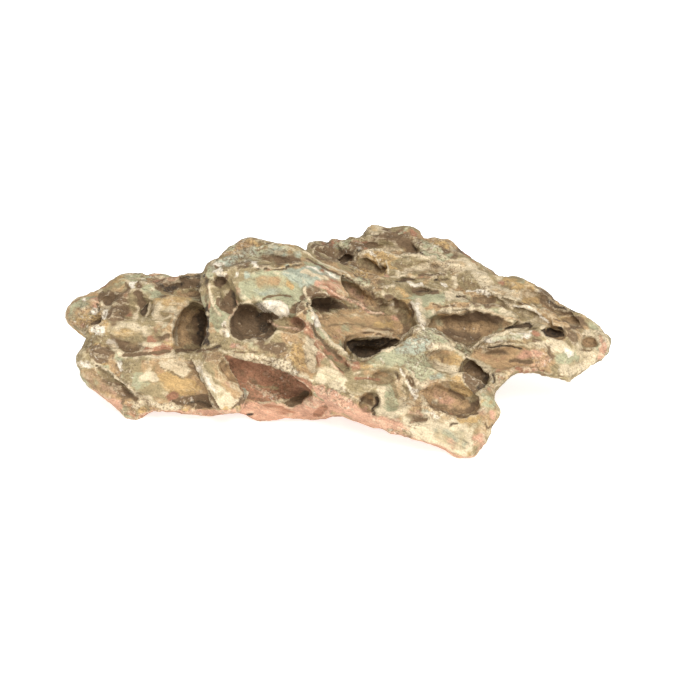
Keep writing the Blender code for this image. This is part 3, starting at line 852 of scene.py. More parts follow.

# The keel that runs down to the right, and the rust undercut and flake below it. The near-black marks in its
# slots and cracks are painted shade; its brown grooves are partly brown clay and partly painted shade.
KEEL = (
    field(TAN, "226,350 250,352 280,358 312,374 306,340 270,342 240,344", 2.0, 0.5),
    field(BROWN, "259,345 268,341 285,342 288,352 274,354 262,352", 1.4, 0.75),
    field(OCHRE, "288,342 304,344 306,368 298,368 290,358", 1.6, 0.9),
    field(CREAM, "304,338 314,338 318,360 314,374 306,370", 1.2, 0.9),
    stain(CREAM, "246,355 262,357 276,362 292,368", 1.6, 0.9),
    groove(BROWN, "234,352 246,353 258,352", 0.8, 0.7, 0.8),
    field(OLIVE, "320,338 332,342 348,358 362,372 350,374 336,364 324,354", 1.6, 0.75),
    stain(BROWN, "322,344 334,354 346,366", 2.0, 0.5),
    ridge(ROSE, "314,336 318,346 326,358 338,370", 0.8, 0.6, 0.7),
    field(CREAM, "314,370 322,366 336,370 350,380 340,388 324,386 316,382", 1.4, 0.85),
    stain(GREEN, "324,374 336,380", 2.4, 0.5),
    basin(RUST, "223,353 245,360 268,365 290,372 306,379 314,384 312,391 302,396 285,400 265,402 250,401 "
          "245,398 237,384 229,368", 1.2, 1.2, 1.0),
    stain(TAN, "242,366 262,374 290,380", 2.4, 0.45),
    field(BROWN, "238,366 252,374 262,384 285,388 300,392 286,398 262,397 250,392 242,378", 2.4, 0.5),
    groove(OLIVE, "258,386 268,387 280,388", 1.8, 0.5, 0.7),
    stain(ROSE, "264,372 284,382", 1.8, 0.45),
    field(SLATE, "239,383 247,386 251,396 246,400 242,392", 1.2, 0.85),
    ledge(CREAM, "314,382 300,376 280,368 256,361 222,351", 3.0, 0.9, 0.0),
    ridge(CREAM, "222,350 232,355 245,358 256,360 268,362 280,367 290,370 300,375 313,381", 0.9, 0.8, 1.0),
    field(ROSE, "238,402 262,401 285,404 305,398 330,404 332,412 322,420 290,422 262,423 "
          "244,416", 1.6, 0.85),
    field(RUST, "252,403 270,403 292,409 302,416 290,417 270,411 254,409", 1.6, 0.6),
    basin(BROWN, "283,401 292,397 300,394 305,389 311,392 308,398 301,404 292,407 284,405", 1.0, 1.2, 0.95),
    basin(ROSE, "303,400 312,394 323,401 318,408 306,410 301,406", 0.9, -0.7, 0.95),
    basin(RUST, "311,413 318,406 327,403 330,408 322,417 312,418", 1.0, 0.9, 0.9),
    stain(CREAM, "306,402 316,402", 1.4, 0.4),
    slot(DARK, "246,414 254,413", 0.8, 1.0, 0.8),
    groove(RUST, "262,404 280,408 296,414", 0.9, 0.6, 0.8),
    slot(DARK, "315,383 319,386 323,386", 0.7, 1.0, 0.9),
    slot(DARK, "325,384 328,384", 0.5, 0.6, 0.8),
    field(ROSE, "312,385 325,385 345,395 370,411 400,424 401,433 370,426 345,416 330,408 "
          "318,397", 1.4, 1.0),
    stain(RUST, "330,396 350,408 372,420 388,428", 1.8, 0.4),
    ledge(CREAM, "402,424 372,409 348,394 326,386", 2.4, 0.6, 0.0),
    field(CREAM, "326,384 345,386 356,396 380,412 400,424 372,410 346,394", 1.2, 0.7),
    basin(OLIVE, "338,392 346,390 351,393 346,398 341,396", 0.8, 0.9, 0.9),
    field(TAN, "354,396 366,393 376,396 378,406 372,412 360,408", 1.2, 0.85),
    groove(BROWN, "360,399 368,403 374,407", 3.0, 1.2, 0.5),
    slot(DARK, "377,396 377,404 372,410 375,414", 1.1, 1.5, 0.9),
    groove(RUST, "354,378 366,378 380,380", 0.9, 0.8, 0.9),
    stain(CREAM, "352,374 360,373", 1.2, 0.8),
    stain(TAN, "364,372 376,373 386,377", 1.8, 0.85),
    stain(OCHRE, "361,365 371,367", 2.0, 0.7),
    field(GREEN, "366,358 384,352 402,344 408,352 402,368 386,370 372,366", 1.6, 0.85),
    stain(WHITE, "380,358 385,366", 1.2, 0.6),
    field(GREEN, "378,384 392,380 400,392 398,412 384,414 378,400", 1.6, 0.7),
    stain(CREAM, "381,390 383,404", 2.0, 0.6),
    groove(OLIVE, "391,379 394,387 397,398", 1.8, 0.9, 0.9),
    slot(DARK, "397,374 398,379", 0.8, 1.2),
)

# Ground colours of the right half, under all its marks.
RIGHT_GROUND = (
    field(TAN, "400,258 470,256 560,300 612,345 560,378 500,372 420,340", 4.0, 0.5),
    field(CREAM, "424,292 520,308 612,340 612,360 560,378 540,345 470,312", 4.0, 0.45),
    field(CREAM, "366,352 430,320 470,354 505,376 500,430 465,460 380,425", 4.0, 0.5),
    field(CREAM, "410,240 450,240 500,285 540,292 500,300 450,268 405,270", 3.0, 0.5),
    field(GREEN, "384,285 440,290 520,300 500,312 440,310 400,300", 3.0, 0.45),
)

# The back lobe and the second ridge behind the dome. The near-black marks in its slots, pockets and cracks
# are painted shade; its brown grooves are partly brown clay and partly painted shade.
BACK_LOBE = (
    field(BROWN, "309,242 330,239 334,248 350,250 364,243 372,236 384,232 400,230 418,232 424,250 420,255 "
          "400,252 384,249 370,250 352,257 340,263 322,262 310,252", 1.6, 0.6),
    groove(BROWN, "313,245 320,246 331,250", 3.4, 0.7, 0.5),
    ridge(CREAM, "312,254 314,249 317,246", 0.9, 0.6, 0.9),
    groove(BROWN, "325,241 329,247 334,252", 1.0, 0.7, 0.6),
    field(GREEN, "332,240 350,239 352,246 342,249 334,247", 1.2, 0.9),
    stain(RUST, "353,245 366,242 376,240", 1.6, 0.5),
    groove(BROWN, "350,243 362,246 376,244", 1.3, 0.8, 0.7),
    groove(DARK, "338,250 346,253 360,250", 0.9, 0.7, 0.6),
    field(CREAM, "366,226 374,222 384,224 388,228 380,231 378,236 372,236 368,231", 1.2, 0.8),
    stain(OCHRE, "371,228 377,230", 1.6, 0.6),
    groove(BROWN, "388,234 401,240 414,246", 3.8, 0.8, 0.6),
    field(RUST, "408,229 416,228 421,236 412,238", 1.2, 0.6),
    ridge(GREEN, "408,227 402,232 398,236", 1.0, 0.7, 0.9),
    stain(OLIVE, "384,241 392,245", 2.0, 0.7),
    field(GREEN, "411,241 424,240 442,248 462,262 446,260 428,257 417,249", 1.4, 0.9),
    stain(CREAM, "416,245 430,250 446,256", 1.4, 0.6),
    groove(BROWN, "414,242 422,243", 0.9, 0.7, 0.9),
    field(OCHRE, "429,238 446,240 452,250 444,250 434,245", 1.2, 0.7),
    stain(BROWN, "440,246 448,251", 1.3, 0.7),
    field(BROWN, "408,243 414,246 424,254 418,256 409,252", 1.0, 0.9),
    groove(DARK, "412,246 418,252 425,255", 0.9, 0.9, 0.8),
    slot(DARK, "341,262 347,260 353,257", 0.9, 1.4, 1.0),
    stain(SLATE, "344,266 354,262", 1.6, 0.4),
    field(BROWN, "355,259 368,256 376,262 382,270 380,275 364,269 346,269", 1.4, 0.7),
    stain(OLIVE, "356,262 366,262 376,268", 2.4, 0.7),
    stain(GREEN, "360,259 368,260", 1.4, 0.4),
    ledge(CREAM, "402,259 392,255 383,250 376,248 362,252 352,258", 3.0, -0.3, 0.0),
    ridge(CREAM, "354,257 364,253 372,251 376,249 384,251 393,255 402,258", 1.0, 0.9, 0.9),
    stain(WHITE, "372,252 376,256", 1.2, 0.7),
    field(OCHRE, "380,253 390,254 402,260 392,260 382,257", 1.0, 0.8),
    groove(BROWN, "379,262 383,268 386,275", 1.0, 0.6, 0.9),
    ridge(CREAM, "376,258 380,265 381,271", 0.8, 0.4, 0.8),
    ridge(CREAM, "385,260 388,266 388,273", 0.8, 0.6, 0.7),
    field(OLIVE, "390,260 402,258 426,259 440,262 420,267 402,270 392,268", 1.2, 0.9),
    stain(BROWN, "394,264 406,265 418,262", 1.4, 0.5),
    ridge(CREAM, "400,254 412,254 424,257 436,257", 1.0, 0.7, 0.9),
    stain(GREEN, "404,263 418,262", 1.8, 0.4),
    field(CREAM, "402,269 430,262 462,257 480,267 460,271 430,270 404,274", 1.2, 0.75),
    stain(TAN, "430,266 448,262 466,264", 1.8, 0.6),
    ledge(CREAM, "462,273 440,271 420,271 402,275", 2.6, -0.8, 0.0),
    field(RUST, "417,272 440,272 452,276 430,280 418,281", 1.4, 0.45),
    groove(BROWN, "419,275 430,275 446,274", 1.0, 0.6, 0.7),
    field(OCHRE, "349,269 367,270 369,276 365,279 354,274", 1.0, 0.95),
    groove(BROWN, "354,275 361,278 367,280", 0.7, 0.5, 0.6),
    field(GREEN, "349,277 358,276 370,281 372,286 356,286 349,283", 1.2, 0.9),
    field(TAN, "369,272 380,273 384,284 380,292 374,292 370,284", 1.2, 0.8),
    field(BROWN, "377,279 388,279 386,290 378,290", 1.2, 0.55),
    mound(ROSE, "386,277 389,280", 1.5, 0.5, 0.7),
    field(OLIVE, "384,287 400,285 412,292 412,299 396,297 384,293", 1.4, 0.75),
    stain(OCHRE, "398,289 406,294", 1.8, 0.8),
    slot(DARK, "396,281 406,280 416,279", 1.3, 1.8, 0.9),
    ridge(CREAM, "390,277 397,277 406,276", 0.9, 0.6, 0.9),
    ledge(CREAM, "442,289 430,287 419,284 406,284", 2.2, -1.0, 0.0),
    field(WHITE, "406,283 420,283 430,287 420,287 410,286", 0.8, 0.8),
    field(BROWN, "409,289 418,288 430,289 442,290 438,295 420,295 411,292", 1.0, 0.9),
    groove(DARK, "413,291 424,292 438,292", 1.0, 0.7, 0.6),
    field(GREEN, "406,297 430,294 446,296 446,303 430,304 416,304", 1.0, 0.95),
    field(TAN, "424,305 446,303 470,303 470,308 440,309 426,310", 1.0, 0.7),
    field(CREAM, "444,291 462,290 466,299 448,301", 1.0, 0.9),
    stain(ROSE, "450,293 454,299", 1.6, 0.5),
    stain(WHITE, "466,292 480,291 490,295", 1.2, 0.7),
    groove(BROWN, "432,304 441,307 455,305", 0.9, 0.8, 0.8),
    groove(DARK, "456,296 466,297", 0.8, 0.8, 0.7),
)

# The right wing, with its long hollow and its small caves. The near-black marks in its caves and slots and
# under its lips are painted shade; the brown in its grooves and hollow is partly brown clay and partly
# painted shade.
WING = (
    field(OLIVE, "430,277 450,275 456,284 450,290 430,288", 1.2, 0.9),
    field(BROWN, "432,277 450,277 450,281 434,282", 1.0, 0.6),
    field(CREAM, "450,276 458,274 458,288 452,289", 1.0, 0.8),
    stain(WHITE, "442,283 448,286", 1.2, 0.7),
    groove(DARK, "432,280 440,280 449,279", 0.9, 0.7, 0.7),
    field(OLIVE, "459,275 470,274 479,283 480,290 464,290 458,284", 1.2, 0.9),
    stain(BROWN, "461,277 470,283 476,288", 2.0, 0.55),
    field(CREAM, "470,268 484,272 492,284 482,284 474,276", 1.0, 0.7),
    field(CREAM, "478,287 500,284 520,290 540,290 538,297 520,300 514,308 500,300", 1.4, 0.7),
    stain(TAN, "492,290 508,294 528,294", 2.0, 0.6),
    field(OCHRE, "500,279 512,277 522,283 524,291 512,289", 1.4, 0.8),
    stain(BROWN, "508,282 514,288", 1.3, 0.5),
    stain(RUST, "498,281 503,283", 1.2, 0.6),
    ridge(CREAM, "478,283 490,291 500,298 513,308", 1.3, 1.0, 0.85),
    field(OCHRE, "518,302 530,297 540,297 538,306 526,307", 1.2, 0.7),
    groove(BROWN, "518,303 528,305 536,304", 1.0, 0.8, 0.8),
    field(BROWN, "540,293 548,291 553,300 562,306 573,307 577,313 562,315 549,311 540,304", 1.2, 0.9),
    stain(RUST, "544,306 552,311 561,314", 1.6, 0.5),
    stain(DARK, "544,294 552,303 564,308 575,311", 1.6, 0.45),
    groove(DARK, "546,299 556,307 568,309 576,312", 1.0, 0.7, 0.6),
    ledge(CREAM, "577,314 562,316 549,312 540,305 530,306", 2.2, -0.9, 0.0),
    field(OLIVE, "514,309 530,310 536,315 532,319 518,319", 1.2, 0.75),
    ridge(WHITE, "514,306 530,308 539,313 548,323", 1.2, 0.9, 0.8),
    field(BROWN, "468,298 480,295 498,300 506,307 490,308 474,305", 1.4, 0.65),
    groove(BROWN, "470,302 482,303 496,305", 1.4, 0.7, 0.5),
    field(CREAM, "428,311 450,308 480,308 504,312 480,312 455,313 432,315", 1.0, 0.8),
    field(TAN, "428,318 460,317 505,321 512,325 484,335 470,344 446,337", 1.6, 0.75),
    basin(BROWN, "429,318 445,316 460,314 476,312 490,314 505,320 518,323 503,330 485,335 477,342 469,350 "
          "452,341 438,335 430,328", 1.4, 1.6, 0.35),
    field(BROWN, "455,316 470,312 488,313 506,319 500,323 480,321 458,321", 1.4, 0.8),
    stain(DARK, "464,316 478,317 492,319", 1.4, 0.4),
    stain(TAN, "436,324 456,326 478,328 494,330", 3.0, 0.4),
    field(BROWN, "438,331 460,331 480,331 478,340 466,343 448,338", 1.6, 0.55),
    ridge(TAN, "428,315 445,314 457,312 475,310 490,312 505,318 521,320", 1.0, 0.9, 0.75),
    slot(DARK, "505,330 515,327 526,325 534,328", 1.3, 1.7),
    stain(DARK, "524,321 530,325", 1.0, 0.8),
    basin(DARK, "540,329 551,328 563,332 565,336 556,339 545,337", 0.9, 2.4, 1.0),
    stain(DARK, "558,327 562,330", 0.8, 0.9),
    field(WHITE, "480,341 490,336 506,333 530,331 536,336 528,341 505,341 486,343", 1.0, 0.6),
    field(CREAM, "528,342 545,341 562,344 575,352 560,352 540,347", 1.0, 0.8),
    stain(GREEN, "492,338 506,338 524,336", 1.6, 0.6),
    ridge(CREAM, "470,351 476,345 485,338 500,334 515,331 529,329", 1.1, 1.1, 0.9),
    field(BROWN, "530,337 541,338 543,342 533,343", 0.9, 0.7),
    stain(RUST, "533,333 540,335", 1.2, 0.6),
    ledge(CREAM, "482,346 492,343 506,342 530,344 545,348", 2.6, 0.8, 0.0),
    ridge(CREAM, "430,331 440,337 450,341 463,347 469,352", 1.0, 0.9, 0.8),
    groove(BROWN, "438,333 446,340 456,344", 1.0, 0.8, 0.8),
    groove(DARK, "466,350 470,353", 0.9, 0.9, 0.9),
    field(TAN, "470,355 482,348 500,346 522,349 550,354 556,362 546,369 512,366 500,372 490,365 "
          "478,360", 1.4, 0.85),
    field(ROSE, "514,350 530,350 550,355 554,362 540,368 516,364", 1.6, 0.5),
    field(RUST, "474,354 484,349 504,348 516,353 500,362 484,362", 1.6, 0.45),
    stain(BROWN, "484,351 498,352 510,352", 1.6, 0.5),
    groove(DARK, "488,348 500,345 512,346 521,350", 0.8, 0.8, 0.7),
    groove(BROWN, "508,361 520,361 532,362", 1.9, 0.7, 0.7),
    stain(ROSE, "524,354 540,352", 1.8, 0.5),
    ledge(CREAM, "508,368 524,367 540,369 551,374", 1.8, 0.8, 0.0),
    field(RUST, "508,369 526,367 540,368 552,375 532,373", 1.0, 0.7),
    field(BROWN, "541,344 550,344 556,356 554,365 549,360 548,350", 1.2, 0.6),
    field(BROWN, "564,326 576,328 580,340 574,346 566,336", 1.4, 0.6),
    groove(BROWN, "566,328 576,327 584,328", 1.0, 0.7, 0.6),
    groove(OLIVE, "566,338 569,343 572,347", 1.4, 0.9, 0.9),
    ridge(CREAM, "548,340 560,341 566,346 573,352", 1.1, 0.9, 0.9),
    field(OCHRE, "553,317 562,316 566,321 557,321", 0.9, 0.8),
    groove(BROWN, "553,319 560,322 566,321", 0.7, 0.6, 0.8),
    basin(TAN, "581,339 588,335 596,338 598,345 591,350 582,346", 1.6, 1.2, 0.85),
    stain(OCHRE, "582,332 586,336", 1.4, 0.7),
    ridge(CREAM, "582,335 590,334 598,339 601,347", 1.0, 0.8, 0.8),
    groove(BROWN, "581,349 588,351 595,349", 1.0, 0.6, 0.6),
    field(ROSE, "600,334 608,342 607,354 596,362 598,348", 1.4, 0.7),
    field(GREEN, "556,352 575,350 580,360 566,366 554,364", 1.6, 0.7),
    stain(WHITE, "566,350 572,356", 1.6, 0.8),
    stain(CREAM, "560,371 575,371 592,362", 3.0, 0.8),
    groove(BROWN, "558,375 564,378", 0.8, 0.6, 0.8),
)

# The front foot, with its caves, its bowl and its pale face, and three last stains on the keel. The
# near-black marks in its bowl and cracks are painted shade; its brown grooves are partly brown clay and
# partly painted shade.
FOOT = (
    field(GREEN, "402,345 420,350 436,366 434,379 420,382 408,372 402,358", 1.8, 0.65),
    field(OCHRE, "428,356 462,353 468,360 462,378 450,379 436,372", 1.8, 0.6),
    field(CREAM, "430,362 446,360 458,368 450,376 438,370", 1.8, 0.4),
    stain(OCHRE, "438,358 446,363 456,364", 2.4, 0.45),
    stain(CREAM, "434,364 448,368 458,372", 2.4, 0.5),
    groove(BROWN, "440,357 443,362", 1.1, 0.7, 0.7),
    groove(OLIVE, "434,369 442,373 448,372", 1.1, 0.7, 0.8),
    field(SLATE, "428,376 440,372 448,378 438,381 430,382", 1.2, 0.6),
    basin(BROWN, "461,377 464,365 470,360 480,366 489,373 491,380 482,390 474,396 467,387", 1.2, 1.7, 0.9),
    stain(TAN, "465,367 472,376 476,386", 2.6, 0.8),
    stain(DARK, "484,372 487,379 477,391", 1.8, 0.7),
    ridge(CREAM, "464,357 475,361 485,369 492,376", 1.0, 0.9, 0.8),
    groove(DARK, "492,373 494,378 493,384", 0.8, 1.0),
    field(RUST, "494,368 506,368 508,378 498,384", 1.4, 0.6),
    field(OCHRE, "449,382 458,376 466,385 474,396 466,398 453,391", 1.2, 0.95),
    basin(TAN, "420,391 428,384 438,381 447,387 458,394 468,401 480,403 479,411 464,416 444,413 "
          "428,404", 1.5, 0.9, 0.95),
    stain(CREAM, "428,396 440,402 458,406", 2.4, 0.35),
    field(ROSE, "424,392 436,386 452,396 468,404 452,410 436,404", 2.2, 0.45),
    field(BROWN, "440,381 448,383 453,390 466,399 460,401 446,392", 1.2, 0.6),
    groove(BROWN, "450,390 458,395 465,400", 0.9, 0.6, 0.7),
    stain(BROWN, "430,405 448,411 466,411 476,408", 2.4, 0.6),
    field(BROWN, "466,402 474,399 481,397 481,405 474,408", 1.2, 0.75),
    stain(OLIVE, "470,398 478,394", 1.4, 0.7),
    stain(CREAM, "433,401 437,405", 0.7, 0.6),
    field(OCHRE, "454,417 470,414 482,414 478,422 462,424", 1.4, 0.85),
    groove(BROWN, "456,416 466,417 478,413", 1.0, 0.7, 0.7),
    groove(DARK, "450,427 453,423 458,423", 0.9, 0.8, 0.8),
    groove(BROWN, "402,371 408,378 412,386", 1.3, 0.8, 0.7),
    ridge(WHITE, "400,368 406,378 410,388 417,399", 1.0, 0.9, 0.8),
    ridge(CREAM, "412,372 416,380 417,386", 0.9, 0.7, 0.7),
    groove(BROWN, "410,376 414,383", 0.8, 0.7, 0.7),
    field(WHITE, "409,388 418,388 421,398 413,400", 1.2, 0.75),
    stain(BROWN, "414,396 418,399", 1.0, 0.5),
    field(BROWN, "403,412 416,407 429,415 423,421 410,425", 1.2, 0.45),
    stain(ROSE, "408,411 416,412 422,416", 2.0, 0.5),
    field(SLATE, "419,407 427,408 430,415 422,412", 1.0, 0.8),
    groove(BROWN, "409,423 416,422 427,419", 1.4, 0.9, 0.7),
    groove(OLIVE, "404,385 408,394 407,400", 1.2, 0.8, 0.8),
    field(GREEN, "481,395 490,394 499,402 492,408 482,406", 1.4, 0.85),
    field(RUST, "486,386 494,385 494,396 488,394", 1.0, 0.6),
    field(TAN, "482,412 499,410 498,424 486,440 476,448 472,430 478,422", 1.8, 0.6),
    stain(ROSE, "490,412 496,420", 2.0, 0.6),
    groove(BROWN, "484,423 488,428 496,424", 0.9, 0.6, 0.7),
    field(CREAM, "402,424 430,420 450,426 472,428 474,446 462,457 440,446 415,436", 2.0, 0.7),
    field(GREEN, "436,428 466,430 470,446 460,453 446,446 434,438", 2.4, 0.6),
    stain(SLATE, "428,428 446,433 462,440 466,448", 3.6, 0.4),
    stain(ROSE, "436,436 452,444 462,450", 3.0, 0.35),
    stain(ROSE, "472,434 482,438 474,448", 2.8, 0.5),
    stain(ROSE, "384,419 400,424 414,428", 2.4, 0.8),
    stain(WHITE, "431,414 440,419", 1.6, 0.5),
    stain(OLIVE, "370,356 382,364 396,372", 3.0, 0.35),
    stain(TAN, "316,366 330,372 346,380", 3.0, 0.35),
    stain(CREAM, "356,398 372,408 392,418", 2.6, 0.35),
    stain(TAN, "440,448 450,454 458,458", 1.0, 0.5),
)

# Later marks lie over earlier ones.
MARKS = (RIGHT_GROUND + LEFT_BLOCK + LEFT_SKIRT + SLAB + BACK_LOBE + DOME + KEEL + WING + FOOT
         + GREAT_HOLLOW)

# Faces that the water left smooth: the middle, and the half width and height, in the picture.
SMOOTH_FACES = (
    ((270, 285), (42, 18)), ((325, 275), (28, 12)), ((165, 383), (32, 18)), ((215, 390), (20, 26)),
    ((448, 438), (34, 20)), ((330, 372), (26, 14)), ((380, 415), (34, 14)), ((360, 324), (38, 12)),
    ((427, 298), (16, 8)), ((385, 362), (20, 12)), ((270, 415), (45, 12)), ((500, 360), (28, 12)),
)


@dataclass(frozen=True)
class Veil:
    """A clay that lies over the stone in soft patches of a size in millimetres.

    It starts to show where its noise is over the start, and is full when the noise has risen by the soft.
    """

    clay: Clay
    size: float
    start: float
    soft: float


GROUND = (
    Veil(TAN, 26.0, 0.0, 0.35), Veil(GREEN, 30.0, 0.12, 0.3), Veil(CREAM, 15.0, 0.22, 0.3),
    Veil(OCHRE, 18.0, 0.25, 0.3), Veil(BROWN, 16.0, 0.2, 0.35), Veil(RUST, 20.0, 0.34, 0.3),
)


@dataclass
class Coat:
    """How much of each clay shows at each vertex; the shares of a vertex make 1."""

    count: int
    shares: dict[Clay, np.ndarray] = dataclasses.field(init=False)

    def __post_init__(self) -> None:
        """Starts with olive clay all over."""
        self.shares = {clay: np.zeros(self.count) for clay in Clay}
        self.shares[OLIVE] += 1.0

    def lay(self, clay: Clay, cover: np.ndarray, near: np.ndarray | slice = slice(None)) -> None:
        """Lays a clay over the others.

        Args:
            clay: The clay.
            cover: The share that it takes of each vertex.
            near: The vertices that it reaches.
        """
        for share in self.shares.values():
            share[near] *= 1.0 - cover
        self.shares[clay][near] += cover


@dataclass(frozen=True)
class Sight:
    """Finds what the photograph's camera sees. Sizes in millimetres.

    A vertex is hidden if something is in its way beyond the gap. It comes into sight as its normal turns
    to the camera between the two facings.
    """

    view: PhotoView = PhotoView()
    gap: float = 1.2
    lift: float = 0.3
    facings: tuple[float, float] = (-0.1, 0.2)
    blur: int = 2

    def measure(self, surface: Surface) -> np.ndarray:
        """Gives how far each vertex is in sight, from 0 to 1."""
        normals = surface.normals()
        rays = self.view.rays(surface.places)
        tree = surface.tree()
        facing = np.einsum("ij,ij->i", normals, rays)
        seen = np.zeros(len(facing))
        starts = surface.places + normals * self.lift + rays * self.gap
        for index in np.nonzero(facing > self.facings[0])[0]:
            if tree.ray_cast(Vector(starts[index]), Vector(rays[index]))[0] is None:
                seen[index] = 1.0
        return surface.average(seen * smoothstep(*self.facings, facing), self.blur)


@dataclass(frozen=True)
class Shelter:
    """Finds how deep in a hollow each vertex lies, with rays to all sides. Sizes in millimetres. The
    material darkens sheltered places by it, as dirt and painted shade.
    """

    rays: int = 28
    reach: float = 22.0
    lift: float = 0.4
    least: float = 0.15

    def measure(self, surface: Surface) -> np.ndarray:
        """Gives how much of the space around each vertex the stone itself hides, from 0 to 1."""
        tree = surface.tree()
        normals = surface.normals()
        turn = np.arange(self.rays) * math.pi * (3.0 - math.sqrt(5.0))
        height = 1.0 - (2.0 * np.arange(self.rays) + 1.0) / self.rays
        ring = np.sqrt(1.0 - height**2)
        directions = np.column_stack((ring * np.cos(turn), ring * np.sin(turn), height))
        towards = normals @ directions.T
        rays = [Vector(direction) for direction in directions]
        hidden = np.zeros(len(normals))
        for index, start in enumerate(surface.places + normals * self.lift):
            origin = Vector(start)
            total = 0.0
            for ray, weight in zip(rays, towards[index]):
                if weight > self.least:
                    total += weight
                    distance = tree.ray_cast(origin, ray, self.reach)[3]
                    if distance is not None:
                        hidden[index] += weight * (1.0 - distance / self.reach)
            hidden[index] /= max(total, 1e-6)
        return hidden


@dataclass(frozen=True)
class Roughness:
    """Says how crumbly the clay is: rough in soft patches, and calm on its smooth faces.

    The patches' size is in millimetres. The calm edges are in shares of a smooth face's half size.
    """

    view: PhotoView = PhotoView()
    patch_size: float = 30.0
    patch_edges: tuple[float, float] = (-0.5, 0.5)
    least: float = 0.55
    calm: float = 0.85
    calm_edges: tuple[float, float] = (0.6, 1.2)

    def measure(self, surface: Surface, seen: np.ndarray) -> np.ndarray:
        """Gives how crumbly each place is.

        Args:
            surface: The stone's surface.
            seen: How far each vertex is in sight.

        Returns:
            0 for smooth faces to 1.
        """
        pixels = self.view.pixels(surface.places)
        calm = np.zeros(len(pixels))
        for centre, radii in SMOOTH_FACES:
            reach = np.linalg.norm((pixels - np.array(centre)) / np.array(radii), axis=1)
            calm = np.maximum(calm, 1.0 - smoothstep(*self.calm_edges, reach))
        noises = clouds(surface.places, self.patch_size, Seed.CRUMBLY, octaves=2)
        patchy = self.least + (1.0 - self.least) * smoothstep(*self.patch_edges, noises)
        return np.clip(patchy * (1.0 - self.calm * calm * seen), 0.0, 1.0)


@dataclass(frozen=True)
class Dents:
    """Bowl-shaped dents side by side, longer along the beds. Sizes in millimetres.

    The level is the share of the depth by which the ridges between the dents stand out.
    """

    size: float
    depth: float
    stretch: tuple[float, float, float]
    sway: float
    sway_size: float
    level: float
    seed: Seed

    def heights(self, surface: Surface, bedding: np.ndarray) -> np.ndarray:
        """Gives the height of the dents at each vertex.

        Args:
            surface: The stone's surface.
            bedding: Places in the beds.

        Returns:
            Heights in millimetres.
        """
        places = bedding / np.array(self.stretch) + self.sway * surface.sway(self.sway_size)
        return self.depth * (scallops(places, self.size, self.seed) + self.level)


@dataclass(frozen=True)
class Carving:
    """Puts the marks on the stone, and paints the clays.

    The waver is how far the marks' lines stray, the spread and the fray how far their painted edges do, in
    pixels. Other sizes are in millimetres.
    """

    view: PhotoView = PhotoView()
    waver: float = 1.3
    spread: float = 2.2
    sway_size: float = 4.5
    fray: float = 2.4
    streak_size: float = 1.5
    streak_stretch: float = 2.6
    patch_size: float = 5.0
    patch_mean: float = 0.75
    patch_change: float = 0.5
    tallest: float = 2.2
    veil_cover: float = 0.8
    veil_seen: float = 0.1
    base_heights: tuple[float, float] = (4.0, 22.0)
    base_facings: tuple[float, float] = (0.1, 0.8)
    # Share of rose on the underside, partly painted glow from the floor.
    underside_rose_and_bounce: float = 0.8

    def carve(self, surface: Surface, seen: np.ndarray) -> Coat:
        """Gives the surface its marks, and paints it.

        Args:
            surface: The stone's surface.
            seen: How far each vertex is in sight.

        Returns:
            The painted clays.
        """
        pixels = self.view.pixels(surface.places)
        sway = surface.sway(self.sway_size)[:, :2]
        wavering = pixels + self.waver * sway
        drawn_out = surface.places / np.array((self.streak_stretch, self.streak_stretch, 1.0))
        streaks = [clouds(drawn_out, self.streak_size, Seed.STREAKS + axis, octaves=2) for axis in range(2)]
        spreading = pixels + self.spread * sway + self.fray * np.column_stack(streaks)
        patchy = clouds(surface.places, self.patch_size, Seed.PATCHES)
        patchy = self.patch_mean + self.patch_change * patchy
        coat = self._ground(surface, seen)
        rise = np.zeros(len(pixels))
        sink = np.zeros(len(pixels))
        for mark in MARKS:
            near = mark.near(pixels, seen, self.view)
            gap, side, taper = mark.measure(wavering[near], self.view)
            height = mark.profile(gap, side, taper) * seen[near]
            rise[near] += np.maximum(height, 0.0)
            sink[near] = np.minimum(sink[near], height)
            strength = 1.0
            if mark.form.soft:
                gap, side, taper = mark.measure(spreading[near], self.view)
                strength = patchy[near]
            coat.lay(mark.clay, mark.paint(gap, taper, strength) * seen[near], near)
        surface.lift(np.minimum(rise, self.tallest))
        surface.places += self.view.rays(surface.places) * sink[:, None]
        return coat

    def _ground(self, surface: Surface, seen: np.ndarray) -> Coat:
        """Paints the whole stone in soft patches, and its low, downward-facing underside rose: partly rose
        clay and partly painted glow of light thrown up from the white floor.

        Args:
            surface: The stone's surface.
            seen: How far each vertex is in sight.

        Returns:
            The painted clays.
        """
        coat = Coat(len(surface.places))
        for number, veil in enumerate(GROUND):
            noises = clouds(surface.places, veil.size, Seed.GROUND + number)
            cover = smoothstep(veil.start, veil.start + veil.soft, noises)
            coat.lay(veil.clay, cover * (self.veil_cover - self.veil_seen * seen))
        # Rose on low faces that face down: partly clay, partly painted glow from the floor.
        low = 1.0 - smoothstep(*self.base_heights, surface.places[:, 2])
        downward = smoothstep(*self.base_facings, -surface.normals()[:, 2])
        coat.lay(ROSE, self.underside_rose_and_bounce * low * downward)
        return coat


